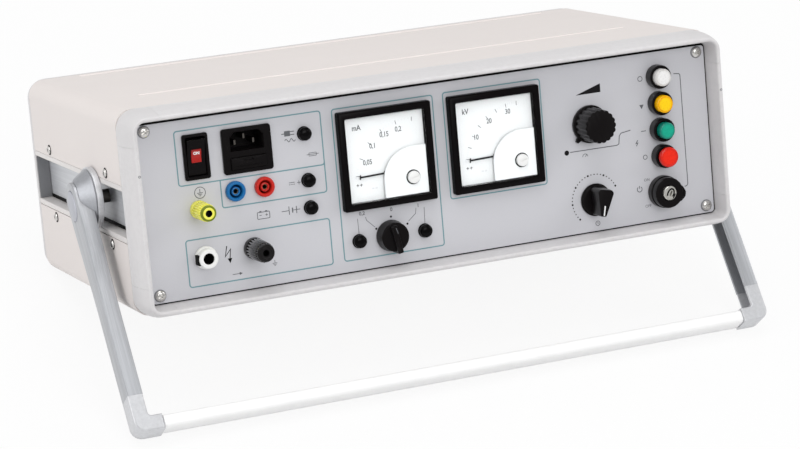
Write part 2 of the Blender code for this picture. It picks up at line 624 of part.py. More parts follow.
def build_meter(face, number, x, dark, clear, white):
    """Square panel meter: housing, window, needle and zero adjuster."""
    at = (x, METER_Z, 0)
    levels = ((GAP, 0), (METER_PROUD - 0.9 * MM, 0), (METER_PROUD, 0.9 * MM))
    plate = stepped_plate(METER_SIZE, METER_SIZE, 1.5 * MM, levels)
    house = make_object(f"meter_{number}_housing", plate, dark, face, at)
    can = extrude(circle(METER_CAN_R, 30), -METER_CAN_L, 1.0 * MM)
    boolean(house, make_object(f"meter_can_tool_{number}", can, dark, face, at), "UNION")
    opening = METER_SIZE - 2 * METER_RIM
    dial = METER_PROUD - METER_DIAL_D
    pocket = extrude(round_rect(opening, opening, 1 * MM, 2), dial, METER_PROUD + 3 * MM)
    boolean(house, make_object(f"meter_pocket_tool_{number}", pocket, dark, face, at), "DIFFERENCE")
    pane = opening - 2 * GAP
    glass_top = METER_PROUD - METER_GLASS_IN
    glass = extrude(round_rect(pane, pane, 0.8 * MM, 2), glass_top - METER_GLASS_T, glass_top)
    window = make_object(f"meter_{number}_window", glass, clear, face, at)
    pivot = (x + NEEDLE_OFFSET[0], METER_Z + NEEDLE_OFFSET[1])
    hole = extrude(circle(ZERO_R + GAP, 16), 0, METER_PROUD + 3 * MM)
    tool = make_object(f"adjuster_hole_tool_{number}", hole, clear, face, (*pivot, 0))
    boolean(window, tool, "DIFFERENCE")
    glass_low = glass_top - METER_GLASS_T
    dome = [(0, glass_low), (ZERO_R, glass_low), (ZERO_R, glass_top + 0.5 * MM),
            (ZERO_R - 0.6 * MM, glass_top + 1.0 * MM), (0, glass_top + 1.0 * MM)]
    make_object(f"meter_{number}_zero_adjuster", turned(dome, 16), white, face, (*pivot, 0))
    outline = [(-NEEDLE_L, -0.25 * MM), (0.0, -0.7 * MM)] + arc((0, 0), NEEDLE_HEAD_R, -60, 60, 6)
    outline += [(0.0, 0.7 * MM), (-NEEDLE_L, 0.25 * MM)]
    height = dial + NEEDLE_LIFT
    turn = (0, 0, math.radians(-NEEDLE_ZERO))
    blade = extrude(outline, -NEEDLE_T / 2, NEEDLE_T / 2)
    needle = make_object(f"meter_{number}_needle", blade, dark, face, (*pivot, height), turn)
    staff = extrude(circle(STAFF_R, 10), GAP - NEEDLE_LIFT, NEEDLE_T)
    tool = make_object(f"staff_tool_{number}", staff, dark, face, (*pivot, height), turn)
    boolean(needle, tool, "UNION")


def knob_shaft(name, face, at, mat):
    return make_object(name, extrude(circle(SHAFT_R, 12), -SHAFT_L, 2 * MM), mat, face, (*at, 0))


def build_wing_knob(face, name, at, radius, height, body_h, wing, turn, mat):
    """Round body with a wing across it; the wing's narrow end points at the scale."""
    body = [(0, GAP), (radius, GAP), (radius, 1.6 * MM), (0.92 * radius, body_h - 0.8 * MM),
            (0.92 * radius - 0.8 * MM, body_h), (0, body_h)]
    spin = (0, 0, math.radians(turn))
    knob = make_object(name, turned(body, 28), mat, face, (*at, 0), spin)
    rings = []
    for z, inset in ((2.0 * MM, 0.0), (height - 0.9 * MM, 0.3 * MM), (height, 1.0 * MM)):
        half = []
        for width, place in wing:
            half.append((width * radius - inset, place * radius - math.copysign(inset, place)))
        outline = half[::-1] + [(-a, b) for a, b in half]
        rings.append([(a, b, z) for a, b in outline])
    boolean(knob, make_object(f"{name}_wing_tool", loft(rings), mat, face, (*at, 0), spin), "UNION")
    boolean(knob, knob_shaft(f"{name}_shaft_tool", face, at, mat), "UNION")


def build_voltage_knob(face, mat):
    """Fluted control knob on a skirt with a pointer lug."""
    at = VOLT_KNOB_AT
    skirt = [(0, GAP), (VOLT_KNOB_R, GAP), (VOLT_KNOB_R, 2.4 * MM),
             (VOLT_KNOB_R - 0.8 * MM, 3.4 * MM), (0, 3.4 * MM)]
    knob = make_object("voltage_knob", turned(skirt, 28), mat, face, (*at, 0))
    per_flute = 4
    rings = []
    for z, shrink in ((3.0 * MM, 0.0), (VOLT_KNOB_H - 1.2 * MM, 0.4 * MM), (VOLT_KNOB_H, 1.3 * MM)):
        ring = []
        for i in range(VOLT_FLUTES * per_flute):
            phase = 2 * math.pi * (i % per_flute) / per_flute
            radius = VOLT_KNOB_R - 1.3 * MM - shrink - 0.35 * MM * (1 - math.cos(phase))
            angle = 2 * math.pi * i / (VOLT_FLUTES * per_flute)
            ring.append((radius * math.cos(angle), radius * math.sin(angle), z))
        rings.append(ring)
    boolean(knob, make_object("flute_tool", loft(rings), mat, face, (*at, 0)), "UNION")
    root_r, tip_r = VOLT_KNOB_R - 2 * MM, VOLT_KNOB_R + VOLT_LUG
    lug = [(root_r, -2.6 * MM), (tip_r, -1.0 * MM), (tip_r, 1.0 * MM), (root_r, 2.6 * MM)]
    aim = (0, 0, math.radians(VOLT_AIM))
    tool = make_object("lug_tool", extrude(lug, 2 * GAP, 2.2 * MM), mat, face, (*at, 0), aim)
    boolean(knob, tool, "UNION")
    boolean(knob, knob_shaft("voltage_shaft_tool", face, at, mat), "UNION")


def build_lamps_and_buttons(face, dark, lenses):
    """Two pilot lamps over two illuminated push buttons, in one column."""
    wall_r = BUTTON_BORE_R + BUTTON_WALL
    shoulder = COLLAR_H - 1.0 * MM
    for i, name in enumerate(("white_lamp", "yellow_lamp")):
        top = COLLAR_H + LENS_H
        profile = [
            (0, -LAMP_DEPTH), (wall_r, -LAMP_DEPTH), (wall_r, GAP), (COLLAR_R, GAP), (COLLAR_R, shoulder),
            (COLLAR_R - 1.0 * MM, COLLAR_H), (LENS_R, COLLAR_H), (LENS_R, top - 1.2 * MM),
            (0.92 * LENS_R, top - 0.4 * MM), (0.6 * LENS_R, top - 0.1 * MM), (0, top),
        ]
        make_object(name, turned(profile, 22), lenses[i], face, (LAMP_X, LAMP_TOP_Z - i * LAMP_PITCH, 0))
    for i, name, widen in ((2, "green_button", 0.0), (3, "red_button", MUSHROOM)):
        at = (LAMP_X, LAMP_TOP_Z - i * LAMP_PITCH, 0)
        collar = [
            (BUTTON_BORE_R, -LAMP_DEPTH), (wall_r, -LAMP_DEPTH), (wall_r, GAP), (COLLAR_R, GAP),
            (COLLAR_R, shoulder), (COLLAR_R - 1.0 * MM, COLLAR_H), (BUTTON_BORE_R, COLLAR_H),
        ]
        make_object(f"{name}_collar", ring_turned(collar, 22), dark, face, at)
        stem = BUTTON_BORE_R - GAP
        head = stem + widen
        neck = COLLAR_H + BUTTON_TRAVEL + 0.4 * MM
        top = COLLAR_H + BUTTON_H
        cap = [
            (0, -BUTTON_STEM), (stem, -BUTTON_STEM), (stem, neck), (head, neck + 0.1 * MM),
            (head, top - 0.9 * MM), (0.9 * head, top - 0.2 * MM), (0.6 * head, top), (0, top),
        ]
        make_object(f"{name}_cap", turned(cap, 22), lenses[i], face, at)


def build_key_switch(face, dark, steel):
    """Key switch: a collar with a lug on it, and the lock's plug that turns in the collar."""
    bore = KEY_PLUG_R + GAP
    barrel = KEY_BASE_R - 1.7 * MM
    top = KEY_BASE_H + KEY_RING_H
    base = [
        (bore, -KEY_DEPTH), (barrel, -KEY_DEPTH), (barrel, GAP), (KEY_BASE_R, GAP),
        (KEY_BASE_R, KEY_BASE_H - 1.0 * MM), (KEY_RING_R, KEY_BASE_H), (KEY_RING_R, top - 0.8 * MM),
        (KEY_RING_R - 0.8 * MM, top), (bore, top),
    ]
    at = (*KEY_AT, 0)
    collar = make_object("key_switch_collar", ring_turned(base, 24), dark, face, at)
    root_r, tip_r = KEY_RING_R - 3 * MM, KEY_RING_R + KEY_LUG
    mid_r = KEY_RING_R + 0.2 * KEY_LUG
    half = KEY_LUG_W / 2
    lug = [(root_r, -half), (mid_r, -0.74 * half), (tip_r, -0.15 * half),
           (tip_r, 0.15 * half), (mid_r, 0.74 * half), (root_r, half)]
    aim = (0, 0, math.radians(KEY_LUG_AIM))
    shape = extrude(lug, KEY_BASE_H - 0.6 * MM, top - 1.2 * MM)
    boolean(collar, make_object("key_lug_tool", shape, dark, face, at, aim), "UNION")
    back = 2 * MM - KEY_DEPTH
    front = top + 0.7 * MM
    plug = [(0, back), (KEY_PLUG_R, back), (KEY_PLUG_R, top), (KEY_PLUG_R - 0.6 * MM, front), (0, front)]
    rotor = make_object("key_plug", turned(plug, 20), steel, face, at)
    slot = extrude(round_rect(KEYWAY_W, KEYWAY_L, 0.4 * KEYWAY_W, 2), top - 5 * MM, front + 2 * MM)
    slant = (0, 0, math.radians(-30))
    boolean(rotor, make_object("keyway_tool", slot, dark, face, at, slant), "DIFFERENCE")


def build_pivot_plates(root, mat):
    """Fixed bearing of the handle: boss in the channel, disc outside it and the pin."""
    inner = CASE_W / 2 - RECESS_D + GAP
    outer = PLATE_FACE
    base = CASE_W / 2 + GAP
    for name, sign in (("left", -1), ("right", 1)):
        profile = [(0, inner), (BOSS_R, inner), (BOSS_R, base), (PLATE_R, base),
                   (PLATE_R, outer - 0.5 * MM),
                   (PLATE_R - 0.5 * MM, outer), (PIN_R, outer), (PIN_R, outer + PIN_L), (0, outer + PIN_L)]
        at, turn = (0, PIVOT_Y, PIVOT_Z), (0, sign * math.pi / 2, 0)
        make_object(f"pivot_plate_{name}", turned(profile, 28), mat, root, at, turn)


def stadium(width, length, drop, steps=6):
    """Slot shape along Z in a YZ plane, its middle a distance below the pivot."""
    radius = width / 2
    rise = (length - width) / 2
    return arc((0, rise - drop), radius, 0, 180, steps) + arc((0, -rise - drop), radius, 180, 360, steps)


def build_handle(swing, cast, profile_mat, grip_mat, cap_mat):
    """Handle in its own axes: origin on the pivot, -Z down the arms, -Y the face to the front."""
    web_in = ARM_OUTER - ARM_WALL
    hub_low = PLATE_FACE + GAP
    hub_high = web_in - GAP
    bore = PIN_R + GAP
    seam = -(ARM_LENGTH - CORNER_UP)
    for name, sign in (("left", -1), ("right", 1)):
        turn = (0, sign * math.pi / 2, 0)
        cone = [(0, hub_low), (HUB_BASE_R, hub_low), (HUB_BASE_R, hub_low + 0.8 * MM),
                (HUB_TOP_R, hub_high), (0, hub_high)]
        hub = make_object(f"hub_{name}", turned(cone, 28), cast, swing, (0, 0, 0), turn)
        drilled = extrude(circle(bore, 16), hub_low - 2 * MM, hub_low + PIN_L + GAP)
        tool = make_object(f"hub_bore_tool_{name}", drilled,
                           cast, swing, (0, 0, 0), turn)
        boolean(hub, tool, "DIFFERENCE")
        pocket_floor = ARM_OUTER + CAP_PROUD - CAP_T - CAP_TRAVEL - GAP
        pocket = extrude(stadium(CAP_W + 2 * GAP, CAP_L + 2 * GAP, CAP_OFFSET),
                         sign * pocket_floor, sign * (ARM_OUTER + 3 * MM), "X")
        boolean(hub, make_object(f"cap_pocket_tool_{name}", pocket, cast, swing), "DIFFERENCE")

        outline = arm_outline(seam + GAP)
        bar = extrude(outline, sign * ARM_INNER, sign * ARM_OUTER, "X")
        arm = make_object(f"arm_{name}", bar, profile_mat, swing)
        channel = arm_inner_outline(seam - 5 * MM)
        hollow = extrude(channel, sign * (ARM_INNER - 3 * MM), sign * web_in, "X")
        tool = make_object(f"channel_tool_{name}", hollow,
                           profile_mat, swing)
        boolean(arm, tool, "DIFFERENCE")
        clear = [(0, hub_low - 3 * MM), (HUB_BASE_R + 1.2 * MM, hub_low - 3 * MM),
                 (HUB_BASE_R + 0.8 * MM, hub_low + 0.8 * MM),
                 (HUB_TOP_R + 0.6 * MM, web_in), (0, web_in)]
        tool = make_object(f"hub_clear_tool_{name}", turned(clear, 28), profile_mat, swing, (0, 0, 0), turn)
        boolean(arm, tool, "DIFFERENCE")
        lozenge = stadium(CAP_W + 2 * GAP, CAP_L + 2 * GAP, CAP_OFFSET)
        hole = extrude(lozenge, sign * (web_in - 2 * MM), sign * (ARM_OUTER + 2 * MM), "X")
        boolean(arm, make_object(f"cap_hole_tool_{name}", hole, profile_mat, swing), "DIFFERENCE")

        shape = stadium(CAP_W, CAP_L, CAP_OFFSET)
        rim = stadium(CAP_W - 1.2 * MM, CAP_L - 1.2 * MM, CAP_OFFSET)
        face_x = ARM_OUTER + CAP_PROUD
        rings = [[(sign * x, a, b) for a, b in ring] for x, ring in
                 ((face_x - CAP_T, shape), (face_x - 0.6 * MM, shape), (face_x, rim))]
        make_object(f"release_cap_{name}", loft(rings), cap_mat, swing)
        build_handle_corner(swing, name, sign, seam, cast)
    build_grip(swing, grip_mat)


def arm_outline(end):
    """Side view of an arm in YZ: round head, a long taper, then the plain depth."""
    half = ARM_DEPTH / 2
    ease = 8
    side = []
    start = -0.35 * ARM_HEAD_R
    for i in range(1, ease + 1):
        t = i / ease
        blend = t * t * (3 - 2 * t)
        width = ARM_HEAD_R * 0.96 + (half - ARM_HEAD_R * 0.96) * blend
        side.append((width, start + t * (-ARM_TAPER_END - start)))
    head = arc((0, 0), ARM_HEAD_R, 180, 0, 14)
    right = side + [(half, end)]
    left = [(-a, b) for a, b in reversed(right)]
    return head + right + left


def arm_inner_outline(end):
    """The channel inside an arm, one wall in from its outline, open at the lower end."""
    half = ARM_DEPTH / 2 - ARM_WALL
    wide = ARM_HEAD_R - ARM_WALL
    points = [(half, end), (half, -ARM_TAPER_END), (wide, -0.5 * ARM_HEAD_R), (wide, 0.3 * ARM_HEAD_R)]
    return points + [(-a, b) for a, b in reversed(points)]


def build_handle_corner(swing, name, sign, seam, mat):
    """Cast corner that joins an arm to the grip, with a spigot into the arm's channel."""
    x_out, x_in = ARM_OUTER, ARM_INNER
    x_end = x_out - CORNER_IN
    z_low, z_high = -(ARM_LENGTH + ARM_THICK / 2), -(ARM_LENGTH - ARM_THICK / 2)
    outer = arc((x_out - CORNER_OUT_R, z_low + CORNER_OUT_R), CORNER_OUT_R, 0, -90, 6)
    outline = [(x_out, seam)] + outer + [(x_end, z_low), (x_end, z_high)]
    outline += [(x_in - 1.5 * MM, z_high), (x_in, z_high + 1.5 * MM), (x_in, seam)]
    rings = []
    half = ARM_DEPTH / 2
    for y, inset in ((-half, 0.9 * MM), (-half + 0.9 * MM, 0.0), (half - 0.9 * MM, 0.0), (half, 0.9 * MM)):
        rings.append([(sign * a, y, b) for a, b in inset_outline(outline, inset)])
    corner = make_object(f"grip_corner_{name}", loft(rings), mat, swing)
    inner = ARM_DEPTH - 2 * ARM_WALL - 2 * GAP
    low, high = seam - 2 * MM, seam + 10 * MM
    spigot = [(-inner / 2, low), (inner / 2, low), (inner / 2, high), (-inner / 2, high)]
    tenon = extrude(spigot, sign * (x_in + 0.8 * MM), sign * (x_out - ARM_WALL - GAP), "X")
    tool = make_object(f"spigot_tool_{name}", tenon, mat, swing)
    boolean(corner, tool, "UNION")


def inset_outline(points, amount):
    """Move each corner of a closed outline inwards by the same distance from both its edges."""
    if amount == 0.0:
        return list(points)
    count = len(points)
    area = 0.0
    for i in range(count):
        (x0, y0), (x1, y1) = points[i], points[(i + 1) % count]
        area += x0 * y1 - x1 * y0
    side = 1 if area > 0 else -1
    moved = []
    for i, point in enumerate(points):
        here = Vector(point)
        before = (here - Vector(points[i - 1])).normalized()
        after = (Vector(points[(i + 1) % count]) - here).normalized()
        n1 = Vector((-before.y, before.x)) * side
        n2 = Vector((-after.y, after.x)) * side
        bisector = (n1 + n2).normalized()
        moved.append(tuple(here + bisector * (amount / max(bisector.dot(n1), 0.5))))
    return moved


def build_grip(swing, mat):
    """Plastic grip bar between the two corner pieces."""
    half = ARM_OUTER - CORNER_IN - GAP
    outline = round_rect(GRIP_DEPTH, GRIP_THICK, GRIP_EDGE_R, 4)
    make_object("grip", extrude([(a, b - ARM_LENGTH) for a, b in outline], -half, half, "X"), mat, swing)


def standing_pitch():
    """Tilt at which the rear feet and the grip's corner pieces both touch the ground."""
    foot_y = COVER_REAR - FOOT_INSET_Y + FOOT_R - 1.3 * MM
    foot_z = -CASE_H / 2 - GAP - FOOT_H
    lean = math.radians(HANDLE_LEAN)
    along, across = ARM_LENGTH + ARM_THICK / 2, ARM_DEPTH / 2
    best = -math.pi
    for a, c in ((along - 0.9 * MM, across), (along, across - 0.9 * MM)):
        y = PIVOT_Y - a * math.sin(lean) + c * math.cos(lean)
        z = PIVOT_Z - a * math.cos(lean) - c * math.sin(lean)
        best = max(best, math.atan2(foot_z - z, foot_y - y))
    return best


def stand_on_origin(root):
    """Put the middle of the assembly's footprint at the origin, with its lowest point at height 0."""
    bpy.context.view_layer.update()
    low = Vector((1e9, 1e9, 1e9))
    high = -low
    for obj in bpy.context.scene.objects:
        if obj.type == "MESH" and not obj.hide_render:
            for vert in obj.data.vertices:
                place = obj.matrix_world @ vert.co
                low = Vector(map(min, low, place))
                high = Vector(map(max, high, place))
    root.location = (root.location.x - (low.x + high.x) / 2, root.location.y - (low.y + high.y) / 2,
                     root.location.z - low.z)


def main():
    for obj in list(bpy.data.objects):
        bpy.data.objects.remove(obj, do_unlink=True)
    cover = material("beige painted sheet", (0.76, 0.73, 0.70), 0.45)
    cast = material("light grey casting", (0.60, 0.60, 0.61), 0.4)
    panel = material("blue-grey panel", (0.53, 0.55, 0.59), 0.5)
    satin = material("satin anodised metal", (0.55, 0.56, 0.60), 0.35, 0.7)
    dark = material("black plastic", (0.02, 0.018, 0.019), 0.4)
    white = material("white plastic", (0.85, 0.85, 0.84), 0.45)
    rubber = material("grey rubber", (0.12, 0.12, 0.12), 0.8)
    clear = material("clear window", (0.9, 0.92, 0.93), 0.1)
    blue = material("blue plastic", (0.02, 0.12, 0.4), 0.4)
    red = material("red plastic", (0.75, 0.03, 0.02), 0.4)
    yellow = material("yellow plastic", (0.93, 0.6, 0.02), 0.4)
    green = material("green plastic", (0.01, 0.35, 0.25), 0.4)

    root = empty("case_axes", turn=(-standing_pitch(), 0, 0))
    face = empty("panel_face", root, turn=(math.pi / 2, 0, 0))
    swing = empty("handle_axes", root, (0, PIVOT_Y, PIVOT_Z), (-math.radians(HANDLE_LEAN), 0, 0))

    build_front_frame(root, cast)
    build_rear_frame(root, cast, panel)
    build_covers(root, cover)
    build_side_profiles(root, satin)
    build_feet(root, rubber)
    build_front_panel(root, face, panel)
    build_switch(face, dark, red)
    build_inlet(face, dark)
    build_jacks(face, blue, red)
    build_post(face, "earth", EARTH_AT, EARTH_POST_R, green, yellow)
    build_post(face, "return", RETURN_AT, RETURN_POST_R, dark, dark)
    build_hv_socket(face, white)
    for number, x in enumerate(METER_X, 1):
        build_meter(face, number, x, dark, clear, white)
    build_wing_knob(face, "range_knob", RANGE_KNOB_AT, RANGE_KNOB_R, RANGE_KNOB_H, RANGE_BODY_H, RANGE_BAR,
                    RANGE_TURN, dark)
    build_wing_knob(face, "timer_knob", TIMER_KNOB_AT, TIMER_KNOB_R, TIMER_KNOB_H, TIMER_BODY_H, TIMER_WING,
                    TIMER_TURN, dark)
    build_voltage_knob(face, dark)
    build_lamps_and_buttons(face, dark, (white, yellow, green, red))
    build_key_switch(face, dark, satin)
    build_pivot_plates(root, satin)
    build_handle(swing, satin, satin, white, satin)
    stand_on_origin(root)


main()
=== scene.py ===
# High voltage tester leaning on its carrying handle: visible pieces, finishes, light and camera.
# Shapes are drawn in millimetres, in the axes of the case, of the panel's face or of the handle.
import json
import math

import bmesh
import bpy
from mathutils import Matrix, Vector


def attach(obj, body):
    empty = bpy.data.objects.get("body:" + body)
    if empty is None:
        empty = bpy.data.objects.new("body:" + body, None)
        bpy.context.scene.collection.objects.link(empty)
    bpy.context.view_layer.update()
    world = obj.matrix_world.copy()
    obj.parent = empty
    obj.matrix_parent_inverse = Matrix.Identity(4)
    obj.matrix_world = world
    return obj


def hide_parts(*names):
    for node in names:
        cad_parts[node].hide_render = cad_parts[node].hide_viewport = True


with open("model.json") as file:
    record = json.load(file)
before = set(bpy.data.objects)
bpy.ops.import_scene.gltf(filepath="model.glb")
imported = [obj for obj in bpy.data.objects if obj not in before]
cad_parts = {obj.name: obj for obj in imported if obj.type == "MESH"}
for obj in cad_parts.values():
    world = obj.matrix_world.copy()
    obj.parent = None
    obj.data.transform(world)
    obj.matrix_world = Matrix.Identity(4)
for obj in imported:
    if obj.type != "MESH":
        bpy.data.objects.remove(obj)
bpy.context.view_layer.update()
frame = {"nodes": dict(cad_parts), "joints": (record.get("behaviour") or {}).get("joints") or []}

MM = 0.001
GAP = 0.3
SIDES = (("left", -1), ("right", 1))
QUARTERS = ((1, 1), (1, -1), (-1, -1), (-1, 1))

# Case, in its own axes: X right, Y from the panel to the rear, Z up
OPENING_W, OPENING_H, OPENING_R = 447.2, 129.2, 3.4
CASE_W, CASE_H, CASE_R = 465.2, 147.2, 14.4
FRAME_WIDE = 9.0
SEAM = 0.1
COVER_FRONT, COVER_REAR = 12.3, 231.7
COVER_T = 1.5
COVER_R = 12.0
COVER_EDGE = 20.9
COVER_BEADS = (COVER_FRONT + 61.7, COVER_REAR - 10.7)
COVER_SCREWS = ((48, 25.7), (190, 25.7), (48, -25.7), (190, -25.7))
CORNER_LEG = 24.0
CASE_REAR = 246.0
REAR_SCREW = (214, -56)
FOOT_FROM_SIDE, FOOT_FROM_END = 48, 20
PIVOT = (80.5, 4.0)
ARM_OUTER, ARM_INNER = 250.7, 239.5
ARM_WALL = 2.2
ARM_LENGTH = 177.5
ARM_SEAM = -155.5
HANDLE_LEAN = 32.4
GRIP_LEG = 21.0
CAP_DROP = 4.5
CAP_SLOT = (16.6, 23.6)
CAP_FRONT = ARM_OUTER + 0.5
CAP_THICK = 3.8
DIAL = 1.4

# Fittings on the panel's face: (right, up)
PANEL_SCREW = (216.5, 58.2)
SWITCH_AT = (-180.4, 35.8)
INLET_AT = (-142.6, 35.8)
BLUE_AT = (-154.2, 7.5)
RED_AT = (-132.4, 7.5)
EARTH_AT = (-182.0, -1.7)
RETURN_AT = (-144.0, -35.2)
HV_AT = (-180.5, -36.3)
LED_AT = ((-98.9, 40.8), (-98.9, 7.2), (-98.9, -12.6), (-64.4, -42.4), (-13.1, -42.4))
METER_AT = ((-38.6, 16.2), (47.6, 16.2))
NEEDLE_FROM_MIDDLE = (18.6, -17.6)
RANGE_AT = (-39.6, -42.0)
VOLTAGE_AT = (124.7, 16.6)
TIMER_AT = (125.0, -40.2)
COLUMN_X = 182.2
COLUMN_TOP = 44.6
COLUMN_PITCH = 19.9
KEY_AT = (180.8, -42.0)

# The three sets of axes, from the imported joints
joints = {joint["name"]: joint for joint in frame["joints"]}
inward = Vector(joints["green_button_press"]["axis"])
lean_back = Matrix.Rotation(math.atan2(inward.z, inward.y), 4, "X")
pivot_place = Vector(joints["handle_swing"]["pos_m"])
case_origin = pivot_place - lean_back.to_3x3() @ Vector((0, PIVOT[0] * MM, PIVOT[1] * MM))
CASE = Matrix.Translation(case_origin) @ lean_back
FACE = CASE @ Matrix.Rotation(math.pi / 2, 4, "X")
SWING = (Matrix.Translation(pivot_place) @ lean_back
         @ Matrix.Rotation(math.radians(-HANDLE_LEAN), 4, "X"))


# Outlines and solids

def arc(middle, radius, start, end, steps):
    points = []
    for i in range(steps + 1):
        angle = math.radians(start + (end - start) * i / steps)
        points.append((middle[0] + radius * math.cos(angle), middle[1] + radius * math.sin(angle)))
    return points


def ring_of(radius, steps=48):
    return arc((0, 0), radius, 0, 360, steps)[:-1]


def round_rect(width, height, radius, steps=8):
    x, y = width / 2 - radius, height / 2 - radius
    points = []
    for corner, (sx, sy) in enumerate(((1, -1), (1, 1), (-1, 1), (-1, -1))):
        points += arc((sx * x, sy * y), radius, -90 + 90 * corner, 90 * corner, steps)
    return points


def slot_outline(width, length, steps=16):
    """Rounded slot that is long in its second direction."""
    radius = width / 2
    rise = (length - width) / 2
    return arc((0, rise), radius, 0, 180, steps) + arc((0, -rise), radius, 180, 360, steps)


def eased(points, reach, steps=3):
    """An outline with its corners rounded off over a reach along each side."""
    result = []
    for i, point in enumerate(points):
        here = Vector(point)
        runs = [Vector(points[i - 1]) - here, Vector(points[(i + 1) % len(points)]) - here]
        start, end = [here + run.normalized() * min(reach, 0.45 * run.length) for run in runs]
        for k in range(steps + 1):
            t = k / steps
            result.append(tuple(start * (1 - t) ** 2 + here * 2 * t * (1 - t) + end * t ** 2))
    return result


def skin(rings, joined=False):
    """A closed skin over rings of equally many points."""
    shape = bmesh.new()
    loops = [[shape.verts.new(point) for point in ring] for ring in rings]
    pairs = list(zip(loops, loops[1:]))
    if joined:
        pairs.append((loops[-1], loops[0]))
    for low, high in pairs:
        for i in range(len(low)):
            j = (i + 1) % len(low)
            shape.faces.new((low[i], low[j], high[j], high[i]))
    if not joined:
        shape.faces.new(loops[0])
        shape.faces.new(loops[-1])
    return shape


def prism(outline, low, high, axis="Z"):
    """An outline drawn out along an axis, with its points in the order of the other two axes."""
    order = {"X": (2, 0, 1), "Y": (0, 2, 1), "Z": (0, 1, 2)}[axis]
    return skin([[[(a, b, h)[k] for k in order] for a, b in outline] for h in (low, high)])


def stepped(width, height, radius, levels, steps=8):
    """Round-cornered block through levels of (height, inset)."""
    rings = []
    for z, inset in levels:
        outline = round_rect(width - 2 * inset, height - 2 * inset, max(radius - inset, 0.25), steps)
        rings.append([(x, y, z) for x, y in outline])
    return skin(rings)


def turned(profile, steps=56):
    """Lathe work: a profile of (radius, height) spun about Z, from the axis to the axis."""
    shape = bmesh.new()
    rings = []
    for radius, height in profile:
        if radius < 0.001:
            rings.append([shape.verts.new((0, 0, height))])
        else:
            rings.append([shape.verts.new((x, y, height)) for x, y in ring_of(radius, steps)])
    for low, high in zip(rings, rings[1:]):
        for i in range(steps):
            j = (i + 1) % steps
            if len(low) == 1:
                shape.faces.new((low[0], high[j], high[i]))
            elif len(high) == 1:
                shape.faces.new((low[i], low[j], high[0]))
            else:
                shape.faces.new((low[i], low[j], high[j], high[i]))
    return shape


def tube(profile, steps=56):
    """Lathe work whose closed section stays clear of the axis."""
    rings = []
    for i in range(steps):
        angle = 2 * math.pi * i / steps
        rings.append([(r * math.cos(angle), r * math.sin(angle), z) for r, z in profile])
    return skin(rings, joined=True)


def band(outer, inner, low, high):
    """Flat closed frame between two outlines of equally many points."""
    levels = ((outer, low), (outer, high), (inner, high), (inner, low))
    return skin([[(x, y, z) for x, y in loop] for loop, z in levels], joined=True)


def moved(shape, x=0.0, y=0.0, z=0.0, turn=0.0):
    """A solid turned about Z, in degrees, and then shifted."""
    bmesh.ops.rotate(shape, verts=shape.verts, matrix=Matrix.Rotation(math.radians(turn), 3, "Z"))
    bmesh.ops.translate(shape, verts=shape.verts, vec=(x, y, z))
    return shape


def mesh_of(name, shape):
    mesh = bpy.data.meshes.new(name)
    shape.to_mesh(mesh)
    shape.free()
    return mesh


def in_scene(name, data):
    made = bpy.data.objects.new(name, data)
    bpy.context.scene.collection.objects.link(made)
    return made


def worked(base, joins=(), cuts=()):
    """The base solid with others joined to it and then cut out of it."""
    helpers = []

    def helper(shape):
        bmesh.ops.recalc_face_normals(shape, faces=shape.faces)
        helpers.append(in_scene("helper", mesh_of("helper", shape)))
        return helpers[-1]

    block = helper(base)
    for operation, tools in (("UNION", joins), ("DIFFERENCE", cuts)):
        for tool in tools:
            step = block.modifiers.new(operation.lower(), "BOOLEAN")
            step.operation = operation
            step.solver = "EXACT"
            step.object = helper(tool)
    bpy.context.view_layer.update()
    result = bmesh.new()
    result.from_mesh(block.evaluated_get(bpy.context.evaluated_depsgraph_get()).to_mesh())
    for made in helpers:
        mesh = made.data
        bpy.data.objects.remove(made)
        bpy.data.meshes.remove(mesh)
    return result


def piece(name, shape, axes, finish, body="case", nodes=(), at=(0, 0, 0), turn=0.0, crisp=30.0, soften=0.0):
    """A finished piece, riding on a body and standing for CAD nodes. Turn is in degrees about local Z."""
    bmesh.ops.remove_doubles(shape, verts=shape.verts, dist=0.0005)
    bmesh.ops.recalc_face_normals(shape, faces=shape.faces)
    bmesh.ops.scale(shape, vec=(MM, MM, MM), verts=shape.verts)
    mesh = mesh_of(name, shape)
    mesh.shade_smooth()
    mesh.set_sharp_from_angle(angle=math.radians(crisp))
    mesh.materials.append(finish[0])
    made = in_scene(name, mesh)
    place = Matrix.Translation(Vector(at if len(at) == 3 else (*at, 0)) * MM)
    made.matrix_world = axes @ place @ Matrix.Rotation(math.radians(turn), 4, "Z")
    if soften:
        edge = made.modifiers.new("soft edges", "BEVEL")
        edge.width = soften * MM
        edge.segments = 3
        edge.limit_method = "ANGLE"
        edge.angle_limit = math.radians(35)
        edge.harden_normals = True
    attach(made, body)
    if nodes:
        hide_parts(*nodes)
    return made


def recoat(node, finish):
    """Gives a CAD mesh that is kept in sight its finish."""
    materials = frame["nodes"][node].data.materials
    materials.clear()
    materials.append(finish[0])


# Shader nodes

def feed(tree, socket, value):
    if isinstance(value, bpy.types.NodeSocket):
        tree.links.new(value, socket)
    else:
        socket.default_value = value


def fill(tree, made, **inputs):
    """Feeds inputs of a node by their labels, with an underscore for each space."""
    for label, value in inputs.items():
        feed(tree, made.inputs[label.replace("_", " ")], value)


def add(tree, kind, settings=None, **inputs):
    made = tree.nodes.new("ShaderNode" + kind)
    for key, value in (settings or {}).items():
        setattr(made, key, value)
    fill(tree, made, **inputs)
    return made


def maths(tree, operation, first, second=0.0, clamp=False):
    made = add(tree, "Math", {"operation": operation, "use_clamp": clamp})
    feed(tree, made.inputs[0], first)
    feed(tree, made.inputs[1], second)
    return made.outputs[0]


